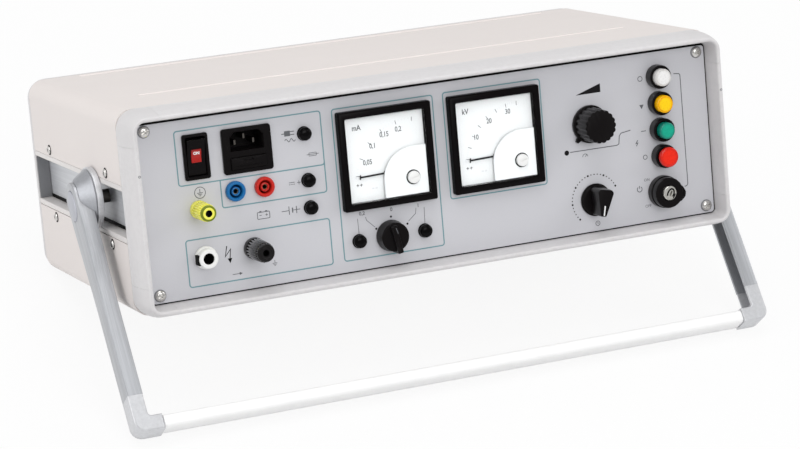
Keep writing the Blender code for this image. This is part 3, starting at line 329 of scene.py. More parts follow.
def mixed(tree, share, first, second):
    made = add(tree, "Mix", {"data_type": "RGBA"})
    for index, value in ((0, share), (6, first), (7, second)):
        feed(tree, made.inputs[index], value)
    return made.outputs[2]


def spread(tree, value, low, high, new_low, new_high):
    made = add(tree, "MapRange", {"interpolation_type": "SMOOTHSTEP"}, Value=value,
               From_Min=low, From_Max=high, To_Min=new_low, To_Max=new_high)
    return made.outputs["Result"]


def scaled(tree, vector, factors):
    made = add(tree, "VectorMath", {"operation": "MULTIPLY"})
    feed(tree, made.inputs[0], vector)
    feed(tree, made.inputs[1], factors)
    return made.outputs[0]


def shaded(tree, colour, value):
    return add(tree, "HueSaturation", Color=colour, Value=value).outputs[0]


def noise(tree, where, scale, detail, **more):
    return add(tree, "TexNoise", Vector=where, Scale=scale, Detail=detail, **more).outputs["Fac"]


def object_place(tree):
    return add(tree, "TexCoord").outputs["Object"]


def surface_of(tree, share, first, second):
    """The material's surface: a share of the second shader over the first."""
    pick = add(tree, "MixShader")
    for socket, value in zip(pick.inputs, (share, first.outputs[0], second.outputs[0])):
        tree.links.new(value, socket)
    tree.links.new(pick.outputs[0], tree.nodes["Material Output"].inputs["Surface"])


def new_group(name, inputs, outputs):
    """A node group, in which a default of three numbers makes a vector and one of four a colour."""
    tree = bpy.data.node_groups.new(name, "ShaderNodeTree")
    for label, value in inputs.items():
        kind = {3: "Vector", 4: "Color"}[len(value)] if isinstance(value, tuple) else "Float"
        socket = tree.interface.new_socket(label, in_out="INPUT", socket_type="NodeSocket" + kind)
        socket.default_value = value
    for label in outputs:
        kind = "Color" if label == "Colour" else "Float"
        tree.interface.new_socket(label, in_out="OUTPUT", socket_type="NodeSocket" + kind)
    return tree, tree.nodes.new("NodeGroupInput").outputs, tree.nodes.new("NodeGroupOutput").inputs


def group_outputs(tree, group, **inputs):
    made = tree.nodes.new("ShaderNodeGroup")
    made.node_tree = group
    fill(tree, made, **inputs)
    return made.outputs


def place_group(tree, group, **inputs):
    """The first output of a group that is placed in a tree."""
    return group_outputs(tree, group, **inputs)[0]


def make_tone_drift():
    """A colour that drifts a little lighter and darker over the surface, with fine specks in it."""
    tree, given, out = new_group("tone drift", {
        "Colour": (0.8, 0.8, 0.8, 1), "Patch scale": 20.0, "Drift": 0.05,
        "Speck scale": 900.0, "Specks": 0.03,
    }, ["Colour"])
    where = object_place(tree)
    value = 1.0
    for scale, detail, amount in (("Patch scale", 4.0, "Drift"), ("Speck scale", 2.0, "Specks")):
        centred = maths(tree, "SUBTRACT", noise(tree, where, given[scale], detail), 0.5)
        value = maths(tree, "ADD", maths(tree, "MULTIPLY", centred, given[amount]), value)
    tree.links.new(shaded(tree, given["Colour"], value), out["Colour"])
    return tree


def make_surface_grain():
    """Height of a sprayed or moulded skin: rounded cells with finer noise over them."""
    tree, given, out = new_group("surface grain", {"Cell scale": 900.0, "Noise share": 0.4}, ["Height"])
    where = object_place(tree)
    cells = add(tree, "TexVoronoi", {"feature": "SMOOTH_F1"}, Vector=where, Scale=given["Cell scale"])
    fine = noise(tree, where, given["Cell scale"], 3.0)
    share = maths(tree, "MULTIPLY", fine, given["Noise share"])
    tree.links.new(maths(tree, "ADD", cells.outputs["Distance"], share), out["Height"])
    return tree


def make_handled_gloss():
    """Roughness with soft smudges where a surface has been wiped and handled."""
    inputs = {"Roughness": 0.4, "Spread": 0.1, "Scale": 30.0}
    tree, given, out = new_group("handled gloss", inputs, ["Roughness"])
    smudge = noise(tree, object_place(tree), given["Scale"], 5.0, Distortion=0.6)
    shift = maths(tree, "MULTIPLY", maths(tree, "SUBTRACT", smudge, 0.5), given["Spread"])
    tree.links.new(maths(tree, "ADD", given["Roughness"], shift, clamp=True), out["Roughness"])
    return tree


def make_brushed_lines():
    """Fine lines drawn out along one axis, as brushing and extrusion dies leave them."""
    tree, given, out = new_group("brushed lines", {"Stretch": (20.0, 900.0, 900.0)}, ["Lines"])
    drawn = scaled(tree, object_place(tree), given["Stretch"])
    tree.links.new(noise(tree, drawn, 1.0, 4.0, Roughness=0.6), out["Lines"])
    return tree


def make_rim_wear_and_highlight():
    """Mask of the outward edges: worn finish on the black plastics, painted highlight on the casting paint
    and on the earth post's ridges.
    """
    tree, given, out = new_group("rim wear and highlight", {"From": 0.52, "To": 0.62, "Break-up scale": 300.0}, ["Mask"])
    point = add(tree, "NewGeometry").outputs["Pointiness"]
    rim = spread(tree, point, given["From"], given["To"], 0.0, 1.0)
    broken = noise(tree, object_place(tree), given["Break-up scale"], 3.0)
    uneven = spread(tree, broken, 0.35, 0.6, 0.2, 1.0)
    tree.links.new(maths(tree, "MULTIPLY", rim, uneven), out["Mask"])
    return tree


def make_lens_depth():
    """Colour of a moulded lens: paler towards its rim, with fine prisms inside it."""
    tree, given, out = new_group("lens depth", {
        "Colour": (1, 1, 1, 1), "Rim": (1, 1, 1, 1), "Radius": 0.006, "Prism scale": 700.0,
    }, ["Colour", "Height"])
    where = object_place(tree)
    away = add(tree, "VectorMath", {"operation": "LENGTH"})
    tree.links.new(scaled(tree, where, (1, 1, 0)), away.inputs[0])
    share = maths(tree, "DIVIDE", away.outputs["Value"], given["Radius"])
    rim = spread(tree, share, 0.55, 1.0, 0.0, 1.0)
    prisms = add(tree, "TexVoronoi", Vector=where, Scale=given["Prism scale"]).outputs["Distance"]
    dim = spread(tree, prisms, 0.0, 0.8, 0.93, 1.04)
    tree.links.new(shaded(tree, mixed(tree, rim, given["Colour"], given["Rim"]), dim), out["Colour"])
    tree.links.new(prisms, out["Height"])
    return tree


def make_flank_mask():
    """Mask of the flanks of a turned piece, whose normals lie square to its axis."""
    tree, given, out = new_group("flank mask", {"From": 0.3, "To": 0.8, "Amount": 1.0}, ["Mask"])
    facing = add(tree, "SeparateXYZ", Vector=add(tree, "TexCoord").outputs["Normal"]).outputs["Z"]
    flank = spread(tree, maths(tree, "ABSOLUTE", facing), given["From"], given["To"], 1.0, 0.0)
    tree.links.new(maths(tree, "MULTIPLY", flank, given["Amount"]), out["Mask"])
    return tree


tone_drift = make_tone_drift()
surface_grain = make_surface_grain()
handled_gloss = make_handled_gloss()
brushed_lines = make_brushed_lines()
rim_wear_and_highlight = make_rim_wear_and_highlight()
lens_depth = make_lens_depth()
flank_mask = make_flank_mask()


def new_material(name):
    made = bpy.data.materials.new(name)
    made.use_nodes = True
    tree = made.node_tree
    return made, tree, tree.nodes["Principled BSDF"]


def bump(tree, shader, height, strength, depth):
    relief = add(tree, "Bump", Height=height, Strength=strength, Distance=depth * MM)
    tree.links.new(relief.outputs[0], shader.inputs["Normal"])


def toned(tree, colour, patch_scale, drift, speck_scale, specks):
    return place_group(tree, tone_drift, Colour=colour, Patch_scale=patch_scale, Drift=drift,
                       Speck_scale=speck_scale, Specks=specks)


def glossed(tree, rough, smudges, scale):
    return place_group(tree, handled_gloss, Roughness=rough, Spread=smudges, Scale=scale)


def rim_tinted(tree, tone, rim_colour, rims_from, rims_to):
    """The tone with another colour on its outward edges, if there is one."""
    if not rim_colour:
        return tone
    rims = place_group(tree, rim_wear_and_highlight, From=rims_from, To=rims_to)
    return mixed(tree, rims, tone, rim_colour)


def rgb(red, green, blue):
    """Scene colour of a shade read as 0 to 255 on a screen."""
    def linear(value):
        value /= 255
        return value / 12.92 if value <= 0.04045 else ((value + 0.055) / 1.055) ** 2.4
    return linear(red), linear(green), linear(blue), 1.0


# Finishes: each is a material with the slot it stands for

def sprayed_paint(name, slot, colour, rough, cell_scale, depth, drift=0.04, rim_colour=None):
    """Paint or powder coat with its orange peel; a lighter colour on its edges, where one is given, is a
    painted highlight.
    """
    made, tree, shader = new_material(name)
    tone = toned(tree, colour, 14.0, drift, 1500.0, 0.05)
    tone = rim_tinted(tree, tone, rim_colour, 0.53, 0.66)
    fill(tree, shader, Base_Color=tone, Roughness=glossed(tree, rough, 0.12, 22.0))
    peel = place_group(tree, surface_grain, Cell_scale=cell_scale, Noise_share=0.5)
    bump(tree, shader, peel, 0.25, depth)
    return made, slot


def moulded_plastic(name, slot, colour, rough, cell_scale, depth, rim_colour=None, shine=0.5,
                    rims_from=0.54, flank_coat=0.0):
    """Moulded plastic with a fine grain, glossier flanks and another colour on its outward edges: wear on
    the black plastics, painted highlight on the earth post's ridges.
    """
    made, tree, shader = new_material(name)
    tone = toned(tree, colour, 60.0, 0.08, 2500.0, 0.06)
    tone = rim_tinted(tree, tone, rim_colour, rims_from, rims_from + 0.12)
    fill(tree, shader, Base_Color=tone, Roughness=glossed(tree, rough, 0.12, 120.0),
         Specular_IOR_Level=shine)
    grain = place_group(tree, surface_grain, Cell_scale=cell_scale, Noise_share=0.6)
    bump(tree, shader, grain, 0.2, depth)
    if flank_coat:
        coat = place_group(tree, flank_mask, From=0.25, To=0.7, Amount=flank_coat)
        fill(tree, shader, Coat_Weight=coat, Coat_Roughness=0.7 * rough)
    return made, slot


def worked_metal(name, slot, colour, rough, stretch, metallic=1.0, depth=0.02, contrast=0.10):
    """Drawn, brushed or turned metal, with lines along the axis that has the small number."""
    made, tree, shader = new_material(name)
    lines = place_group(tree, brushed_lines, Stretch=stretch)
    shade = spread(tree, lines, 0.3, 0.7, 1.0 - contrast, 1.0 + contrast)
    tone = shaded(tree, toned(tree, colour, 25.0, 0.06, 1800.0, 0.03), shade)
    fill(tree, shader, Base_Color=tone, Roughness=glossed(tree, rough, 0.14, 45.0), Metallic=metallic)
    bump(tree, shader, lines, 0.3, depth)
    return made, slot


def channel_extrusion(name, slot, bare, paint):
    """Side channel: bare metal on its web, paint on its lips and on its lower flange."""
    made, tree, shader = new_material(name)
    place = add(tree, "SeparateXYZ", Vector=object_place(tree)).outputs
    lips_from, flange_to = (CASE_W / 2 - 2.5) * MM, -16.6 * MM
    lips = spread(tree, maths(tree, "ABSOLUTE", place["X"]), lips_from, lips_from + 0.5 * MM, 0.0, 1.0)
    flange = spread(tree, place["Z"], flange_to, flange_to + 0.3 * MM, 1.0, 0.0)
    painted = maths(tree, "MAXIMUM", lips, flange)
    lines = place_group(tree, brushed_lines, Stretch=ALONG_Y)
    metal = shaded(tree, bare, spread(tree, lines, 0.3, 0.7, 0.93, 1.07))
    tone = toned(tree, mixed(tree, painted, metal, paint), 20.0, 0.05, 900.0, 0.03)
    fill(tree, shader, Base_Color=tone, Roughness=glossed(tree, 0.38, 0.12, 45.0),
         Metallic=spread(tree, painted, 0.0, 1.0, 0.3, 0.0))
    bump(tree, shader, lines, 0.2, 0.02)
    return made, slot


def moulded_lens(name, slot, colour, rim, radius, rough=0.2):
    made, tree, shader = new_material(name)
    depth = group_outputs(tree, lens_depth, Colour=colour, Rim=rim, Radius=radius * MM)
    fill(tree, shader, Base_Color=depth["Colour"], Roughness=glossed(tree, rough, 0.08, 200.0),
         Specular_IOR_Level=0.3)
    bump(tree, shader, depth["Height"], 0.06, 0.05)
    return made, slot


def printed_ink(name, slot, colour, shine=0.3):
    made, tree, shader = new_material(name)
    fill(tree, shader, Base_Color=toned(tree, colour, 120.0, 0.12, 3000.0, 0.12),
         Roughness=glossed(tree, 0.45, 0.1, 150.0), Specular_IOR_Level=shine)
    return made, slot


def clear_pane(name, slot):
    """Acrylic window, which lets lamp light through to the dial."""
    made, tree, shader = new_material(name)
    fill(tree, shader, Base_Color=(0.98, 0.99, 0.99, 1), Roughness=glossed(tree, 0.03, 0.05, 80.0),
         Transmission_Weight=1.0, IOR=1.03)
    surface_of(tree, add(tree, "LightPath").outputs["Is Shadow Ray"], shader, add(tree, "BsdfTransparent"))
    return made, slot


ALONG_Y = (900.0, 14.0, 900.0)
ALONG_Z = (900.0, 900.0, 14.0)
ALL_WAYS = (500.0, 500.0, 500.0)

cover_paint = sprayed_paint("beige cover paint", "cover_paint",
                            rgb(221, 214, 211), 0.45, 1100.0, 0.04, 0.03)
# the lighter rim colour of the casting paint is a painted highlight on its edges
frame_paint = sprayed_paint("grey casting paint", "cast_frame",
                            rgb(205, 203, 204), 0.4, 1400.0, 0.02, 0.015, rgb(216, 214, 215))
panel_paint = sprayed_paint("blue-grey panel paint", "panel_paint", rgb(198, 198, 203), 0.5, 1800.0, 0.03)

channel_metal = channel_extrusion("side channel extrusion", "satin_metal",
                                  rgb(198, 200, 204), rgb(216, 212, 210))
satin_arm = worked_metal("satin arm aluminium", "satin_metal", rgb(174, 176, 180), 0.34, ALONG_Z, 0.6)
satin_cast = worked_metal("satin cast aluminium", "satin_metal",
                          rgb(204, 205, 208), 0.38, ALL_WAYS, 0.5, 0.04, 0.05)
satin_hub = worked_metal("satin hub casting", "satin_metal",
                         rgb(168, 170, 175), 0.38, ALL_WAYS, 0.6, 0.04, 0.05)
cap_metal = worked_metal("release cap metal", "satin_metal", rgb(176, 178, 186), 0.36, ALONG_Z, 0.6)
screw_metal = worked_metal("nickelled screws", "lock_steel",
                           rgb(205, 203, 200), 0.22, ALL_WAYS, 1.0, 0.01, 0.06)
lock_metal = worked_metal("turned lock steel", "lock_steel",
                          rgb(214, 212, 206), 0.24, ALL_WAYS, 1.0, 0.02, 0.12)
# nickel darkened to paint the shade on the inlet pins, the socket contact and the pivot bosses
shade_darkened_nickel = worked_metal("nickel darkened as painted shade", "lock_steel", rgb(96, 92, 88), 0.3, ALL_WAYS, 1.0, 0.01, 0.06)
contact_metal = worked_metal("contact brass", "lock_steel",
                             rgb(150, 138, 112), 0.3, ALL_WAYS, 1.0, 0.01, 0.1)

black_gloss = moulded_plastic("glossy black plastic", "black_plastic", rgb(12, 9, 10), 0.25, 1500.0, 0.02,
                              rgb(26, 23, 24), shine=0.06)
black_post = moulded_plastic("polished black plastic", "black_plastic", rgb(13, 10, 11), 0.12, 1500.0, 0.01,
                             rgb(34, 31, 32), shine=0.3, flank_coat=0.8)
black_satin = moulded_plastic("satin black plastic", "black_plastic", rgb(14, 11, 12), 0.42, 1300.0, 0.04,
                              rgb(30, 27, 28), shine=0.07, flank_coat=0.8)
black_lamp = moulded_plastic("unlit lamp plastic", "black_plastic",
                             rgb(6, 5, 6), 0.1, 1500.0, 0.01, shine=0.08)
# deep black for plastic parts and for painted shade in bores, gaps and recesses
black_plastic_and_shade = moulded_plastic("black plastic and painted shade", "black_plastic",
                             rgb(5, 5, 5), 0.6, 1000.0, 0.04, shine=0.1)
# grey for the set screws and for painted shade round the panel screws and on the channels' end walls
grey_plastic_and_shade = moulded_plastic("grey plastic and painted shade", "black_plastic",
                           rgb(132, 133, 136), 0.5, 1200.0, 0.03, shine=0.2)
white_moulded = moulded_plastic("white moulded plastic", "white_plastic",
                                rgb(238, 238, 237), 0.34, 1400.0, 0.03)
grip_white = moulded_plastic("white grip plastic", "white_plastic", rgb(244, 244, 244), 0.4, 900.0, 0.06)
# grey for the painted shade on the grip's upper side
grip_painted_shade = moulded_plastic("grey painted shade on the grip", "white_plastic", rgb(150, 151, 155), 0.5, 1100.0, 0.03)
dial_card = moulded_plastic("white dial card", "white_plastic",
                            rgb(213, 214, 215), 0.6, 2200.0, 0.01, shine=0.3)
blue_moulded = moulded_plastic("blue socket plastic", "blue_plastic",
                               rgb(22, 102, 162), 0.35, 1500.0, 0.02, shine=0.25)
red_moulded = moulded_plastic("red socket plastic", "red_plastic",
                              rgb(192, 34, 26), 0.35, 1500.0, 0.02, shine=0.25)
# the paler rim colour of the earth yellow is a painted highlight on the knurl ridges
earth_yellow = moulded_plastic("earth yellow plastic", "yellow_plastic", rgb(236, 232, 72),
                               0.26, 1500.0, 0.02, rgb(250, 248, 120), shine=0.7, rims_from=0.5)
earth_green = moulded_plastic("earth green plastic", "green_plastic",
                              rgb(112, 126, 20), 0.35, 1500.0, 0.02, shine=0.3)
foot_rubber = moulded_plastic("grey foot rubber", "foot_rubber", rgb(52, 51, 52), 0.75, 700.0, 0.1)

lens_white = moulded_lens("white lamp lens", "white_plastic", rgb(230, 229, 228), rgb(218, 216, 214), 6.45)
lens_yellow = moulded_lens("yellow lamp lens", "yellow_plastic", rgb(248, 203, 8), rgb(240, 178, 6), 6.45)
lens_green = moulded_lens("green button lens", "green_plastic", rgb(14, 160, 132), rgb(10, 118, 102), 6.3)
lens_red = moulded_lens("red button lens", "red_plastic", rgb(230, 36, 10), rgb(196, 24, 8), 7.6)
rocker_red = moulded_lens("red rocker lens", "red_plastic", rgb(168, 28, 24), rgb(104, 14, 14), 7.5)

teal_ink = printed_ink("teal printing", "panel_paint", rgb(112, 150, 157))
black_ink = printed_ink("black printing", "black_plastic", rgb(22, 20, 22), 0.1)
grey_ink = printed_ink("grey printing", "panel_paint", rgb(98, 100, 104))
figure_ink = printed_ink("dial figures", "panel_paint", rgb(74, 75, 78))
# pale ink for the fine dial print and for the painted shade line at the shields' edges
pale_ink_and_shade = printed_ink("pale dial printing and painted shade", "panel_paint", rgb(196, 197, 200))
white_ink = printed_ink("white printing", "white_plastic", rgb(232, 232, 232))
needle_black = printed_ink("needle lacquer", "needle_metal", rgb(20, 20, 22))
clear_window = clear_pane("clear acrylic", "clear_window")


# Case

def corner_radius(out):
    """Grows from the opening's corner to the case's corner over the width of the frame."""
    return OPENING_R + max(out, 0.0) / FRAME_WIDE * (CASE_R - OPENING_R)


def corner_column(out, steps=14):
    """Points of one corner at a distance out of the opening, from the top rail to the side rail."""
    radius = corner_radius(out)
    x, z = OPENING_W / 2 + out, OPENING_H / 2 + out
    bend = arc((x - radius, z - radius), radius, 90, 0, steps)
    return [(CASE_W / 2 - CORNER_LEG + SEAM, z)] + bend + [(x, CASE_H / 2 - CORNER_LEG + SEAM)]


FRONT_SECTION = (
    [(9, 12), (9, 9), (8.93, 5.2), (8.65, 1.4), (8.25, -2.3), (7.7, -5.9), (6.95, -9.4), (6.1, -12.3)]
    + arc((3.7, -14.3), 1.7, 0, -180, 12)
    + [(0.6, -4.5), (0.0, 0.0), (0, 2.8), (-5, 2.8), (-5, 6.0), (-1.4, 6.0), (-1.4, 12)]
)
REAR_SECTION = (
    [(9, 14), (9, 11), (8.9, 9.6), (8.6, 7.8), (8.1, 6.2), (7.4, 4.8), (6.3, 3.5), (4.9, 2.4)]
    + arc((1.7, 1.7), 1.7, 20, -180, 10)
    + [(0, 7.0), (-5, 7.0), (-5, 10.2), (-1.4, 10.2), (-1.4, 14)]
)


def build_front_frame():
    """Cast corners and rails with a rounded nose, and the set screws that hold the rails."""
    def casting(name, rings):
        piece(f"front_{name}", skin(rings), CASE, frame_paint, nodes=[f"frame_{name}"], crisp=22)

    seam_x, seam_z = CASE_W / 2 - CORNER_LEG, CASE_H / 2 - CORNER_LEG
    columns = [corner_column(out) for out, _ in FRONT_SECTION]
    for name, sx, sz in (("tl", -1, 1), ("tr", 1, 1), ("bl", -1, -1), ("br", 1, -1)):
        casting(f"corner_{name}", [
            [(sx * x, y, sz * z) for (_, y), (x, z) in zip(FRONT_SECTION, points)]
            for points in zip(*columns)
        ])
    for name, sz in (("top", 1), ("bottom", -1)):
        casting(f"rail_{name}", [
            [(x, y, sz * (OPENING_H / 2 + out)) for out, y in FRONT_SECTION] for x in (-seam_x, seam_x)
        ])
    for name, sx in SIDES:
        casting(f"rail_{name}", [
            [(sx * (OPENING_W / 2 + out), y, z) for out, y in FRONT_SECTION] for z in (-seam_z, seam_z)
        ])
        socket = prism(ring_of(0.5, 6), 15.3, 17)
        grub = [(0, 14.6), (1.0, 14.6), (1.0, 15.9), (0.9, 16.05), (0, 16.05)]
        piece(f"set_screw_{name}", worked(turned(grub, 24), cuts=[socket]), FACE, grey_plastic_and_shade,
              at=(sx * (OPENING_W / 2 + 3.7), 30))


def build_rear_frame():
    """One casting around the recessed rear panel, and the screws that hold it."""
    half = [(out, CASE_REAR - y) for out, y in REAR_SECTION]
    paths = []
    for out, _ in half:
        bend = corner_column(out, 10)[1:-1]
        loop = []
        for sx, sz in QUARTERS:
            side = [(sx * x, sz * z) for x, z in bend]
            loop += side if sx * sz > 0 else side[::-1]
        paths.append(loop)
    rings = [[(x, y, z) for (_, y), (x, z) in zip(half, points)] for points in zip(*paths)]
    piece("rear_casting", skin(rings, joined=True), CASE, frame_paint, nodes=["rear_frame"], crisp=22)
    recoat("rear_panel", panel_paint)
    turned_back = CASE @ Matrix.Rotation(-math.pi / 2, 4, "X")
    for i, (sx, sz) in enumerate(QUARTERS):
        piece(f"rear_screw_{i}", pan_head(3.6, 2.2), turned_back, screw_metal,
              at=(sx * REAR_SCREW[0], sz * REAR_SCREW[1], CASE_REAR - 4.2))


def cover_sheet(sign):
    """Section of a bent cover, upper one for sign 1 and lower one for sign -1."""
    def side(half_w, half_h, radius):
        right = [(half_w, COVER_EDGE)] + arc((half_w - radius, half_h - radius), radius, 0, 90, 18)
        return right + [(-x, z) for x, z in reversed(right)]
    outer = side(CASE_W / 2, CASE_H / 2, COVER_R)
    inner = side(CASE_W / 2 - COVER_T, CASE_H / 2 - COVER_T, COVER_R - COVER_T)
    return [(x, sign * z) for x, z in outer + inner[::-1]]


def build_covers():
    """Bent sheets; the upper one has two pressed beads across it."""
    beads = []
    for y in COVER_BEADS:
        rings = []
        for lift, inset in ((-0.6, 0.0), (0.0, 0.0), (0.3, 0.1), (0.55, 0.32), (0.72, 0.6), (0.8, 0.95)):
            outline = round_rect(390 - 2 * inset, 2.4 - 2 * inset, 1.19 - inset, 8)
            rings.append([(x, y + b, CASE_H / 2 + lift) for x, b in outline])
        beads.append(skin(rings))
    top = worked(prism(cover_sheet(1), COVER_FRONT, COVER_REAR, "Y"), joins=beads)
    piece("upper_cover", top, CASE, cover_paint, nodes=["top_cover"], crisp=14)
    piece("lower_cover", prism(cover_sheet(-1), COVER_FRONT, COVER_REAR, "Y"), CASE, cover_paint,
          nodes=["bottom_cover"], crisp=14)
    for side, sx in SIDES:
        outwards = CASE @ Matrix.Rotation(sx * math.pi / 2, 4, "Y")
        for i, (y, z) in enumerate(COVER_SCREWS):
            place = (-sx * z, y, CASE_W / 2)
            # dark ring under each screw head: painted shade around the screw
            shade_ring = [(2.2, 0), (3.9, 0), (3.9, 0.25), (3.7, 0.4), (2.2, 0.4)]
            piece(f"cover_shade_ring_{side}_{i}", tube(shade_ring, 40), outwards, black_satin, at=place, crisp=40)
            piece(f"cover_screw_{side}_{i}", pan_head(3.0, 1.7), outwards, screw_metal, at=place)


def build_side_profiles():
    """Open channels, each with a dark strip of painted shade along its lower edge and a grey plate of
    painted shade in each end.
    """
    upper = [
        (10.0, 16.6), (0.6, 16.6), (0.18, 16.78), (0.0, 17.2), (0.0, 20.2), (0.4, 20.6), (1.8, 20.6),
        (1.8, 33.1), (4.4, 33.1), (4.4, 19.2), (12.6, 19.2),
    ]
    outline = upper + [(d, -z) for d, z in reversed(upper)]
    for name, sign in SIDES:
        section = [(sign * (CASE_W / 2 - d), z) for d, z in outline]
        piece(f"side_channel_{name}", prism(section, COVER_FRONT, COVER_REAR, "Y"), CASE, channel_metal,
              nodes=[f"side_profile_{name}"], crisp=22)
        # dark strip on the floor's lower edge: painted shade under the lower lip
        shade_strip_section = ((10.0, -16.5), (9.5, -16.5), (9.5, -14.0), (10.0, -14.0))
        shade_strip = [(sign * (CASE_W / 2 - d), z) for d, z in shade_strip_section]
        piece(f"channel_shade_strip_{name}", prism(shade_strip, COVER_FRONT + 1, COVER_REAR - 1, "Y"), CASE, black_plastic_and_shade)
        # grey plates across the channel's ends: painted shade on the end walls
        for end, y in (("front", COVER_FRONT + 0.1), ("rear", COVER_REAR - 0.9)):
            shade_plate = [(x + sign * (CASE_W / 2 - 5.1), z) for x, z in round_rect(9.2, 32.6, 1.2, 4)]
            piece(f"end_plug_{end}_{name}", prism(shade_plate, y, y + 0.8, "Y"), CASE, grey_plastic_and_shade)


def build_feet():
    for fore, y in (("front", COVER_FRONT + FOOT_FROM_END), ("rear", COVER_REAR - FOOT_FROM_END)):
        for side, sx in SIDES:
            profile = [(0, 0), (7.7, 0), (8.0, -0.4), (7.4, -3.2), (7.0, -3.8), (6.7, -4.0), (4.6, -4.0),
                       (3.9, -3.6), (3.6, -2.0), (0, -2.0)]
            piece(f"rubber_foot_{fore}_{side}", turned(profile), CASE, foot_rubber,
                  nodes=[f"foot_{fore}_{side}"],
                  at=(sx * (CASE_W / 2 - FOOT_FROM_SIDE), y, -CASE_H / 2 - GAP))


def pan_head(radius, height):
    """Pan head with a cross recess, standing on Z = 0."""
    dome = [(0, 0), (radius, 0), (radius, 0.3 * height), (0.93 * radius, 0.62 * height),
            (0.75 * radius, 0.86 * height), (0.45 * radius, 0.97 * height), (0, height)]
    arm, wide = 0.56 * radius, 0.2 * radius
    slot = round_rect(2 * arm, wide, 0.3 * wide, 2)
    cuts = [moved(prism(slot, 0.35 * height, height + 1), turn=turn) for turn in (35, 125)]
    return worked(turned(dome, 40), cuts=cuts)


# Printing on the panel and the dials

class Print:
    """Thin raised ink, gathered into one piece."""

    def __init__(self, low=0.0, thick=0.06):
        self.low, self.high = low, low + thick
        self.shape = bmesh.new()

    def solid(self, outline):
        loops = [[self.shape.verts.new((x, y, z)) for x, y in outline] for z in (self.low, self.high)]
        for i in range(len(outline)):
            j = (i + 1) % len(outline)
            self.shape.faces.new((loops[0][i], loops[0][j], loops[1][j], loops[1][i]))
        self.shape.faces.new(loops[0])
        self.shape.faces.new(loops[1])

    def dot(self, x, y, radius):
        self.solid([(x + a, y + b) for a, b in ring_of(radius, 24)])

    def line(self, points, width, closed=False):
        """A mitred strip along the points."""
        count = len(points)
        sides = []
        for i, point in enumerate(points):
            here = Vector(point)
            before = Vector(points[i - 1]) if i or closed else None
            after = Vector(points[(i + 1) % count]) if i < count - 1 or closed else None
            runs = [(b - a).normalized() for a, b in ((before, here), (here, after)) if a and b]
            normals = [Vector((-run.y, run.x)) for run in runs]
            middle = sum(normals, Vector((0, 0))).normalized()
            reach = width / 2 / max(middle.dot(normals[0]), 0.4)
            sides.append((here + middle * reach, here - middle * reach))
        steps = range(count if closed else count - 1)
        for i in steps:
            (a, b), (c, d) = sides[i], sides[(i + 1) % count]
            self.solid([tuple(a), tuple(b), tuple(d), tuple(c)])

    def strokes(self, x, y, width, *paths):
        """Lines of one width, with their points given from a place."""
        for path in paths:
            self.line([(x + a, y + b) for a, b in path], width)

    def earth_sign(self, x, y, width, top, bars):
        """A stem that ends on the first of some bars of (half length, drop)."""
        self.strokes(x, y, width, [(0, top), (0, -bars[0][1])])
        for half, drop in bars:
            self.strokes(x, y, width, [(-half, -drop), (half, -drop)])

    def block(self, left, bottom, right, top):
        self.solid([(left, bottom), (right, bottom), (right, top), (left, top)])

    def box(self, left, bottom, right, top, width, radius=2.0):
        middle = ((left + right) / 2, (bottom + top) / 2)
        outline = round_rect(right - left, top - bottom, radius, 6)
        self.line([(x + middle[0], y + middle[1]) for x, y in outline], width, closed=True)

    def circle(self, x, y, radius, width):
        self.line([(x + a, y + b) for a, b in ring_of(radius, 36)], width, closed=True)

    def words(self, text, x, y, size, turn=0.0, bold=0.0, narrow=1.0):
        """Figures centred on a place, made bolder by an offset and narrower by a share."""
        curve = bpy.data.curves.new("figures", "FONT")
        curve.offset = bold
        curve.body = text
        curve.size = size
        curve.align_x = curve.align_y = "CENTER"
        curve.resolution_u = 4
        carrier = in_scene("figures", curve)
        bpy.context.view_layer.update()
        letters = bmesh.new()
        letters.from_mesh(carrier.evaluated_get(bpy.context.evaluated_depsgraph_get()).to_mesh())
        bmesh.ops.scale(letters, vec=(narrow, 1, 1), verts=letters.verts)
        moved(letters, x, y, self.low, turn)
        bmesh.ops.remove_doubles(letters, verts=letters.verts, dist=0.001)
        faces = bmesh.ops.extrude_face_region(letters, geom=letters.faces[:])["geom"]
        risen = [part for part in faces if isinstance(part, bmesh.types.BMVert)]
        bmesh.ops.translate(letters, verts=risen, vec=(0, 0, self.high - self.low))
        copy = mesh_of("figures", letters)
        self.shape.from_mesh(copy)
        bpy.data.objects.remove(carrier)
        bpy.data.meshes.remove(copy)


def build_panel():
    """The panel keeps its CAD sheet; lamp domes, screws and printing go on it."""
    recoat("front_panel", panel_paint)
    for i, at in enumerate(LED_AT):
        dome = [(0, -0.5), (5.2, -0.5), (5.2, 0.35), (5.0, 0.6), (4.8, 0.7), (4.8, 3.25)]
        dome += [(4.8 * math.cos(math.radians(a)) ** 0.8, 3.25 + 2.25 * math.sin(math.radians(a)))
                 for a in range(10, 90, 10)]
        piece(f"panel_lamp_{i}", turned(dome + [(0, 5.5)]), FACE, black_lamp, at=at, crisp=40)
    for i, (sx, sz) in enumerate(QUARTERS):
        place = (sx * PANEL_SCREW[0], sz * PANEL_SCREW[1])
        piece(f"panel_screw_{i}", pan_head(4.0, 2.7), FACE, screw_metal, at=place)
        # grey ring under each screw head: painted shade around the screw
        shade_ring = [(2.5, 0), (4.5, 0), (4.5, 0.3), (4.35, 0.4), (2.5, 0.4)]
        piece(f"panel_shade_ring_{i}", tube(shade_ring, 40), FACE, grey_plastic_and_shade, at=place, crisp=40)
    inside = [(x + 0.4, y - 0.45) for x, y in round_rect(445.1, 126.6, 2.4, 6)]
    seal = band(round_rect(447.0, 129.0, 3.3, 6), inside, 0.0, 0.2)
    piece("panel_gasket", seal, FACE, black_plastic_and_shade)
    build_panel_lines()
    build_panel_symbols()


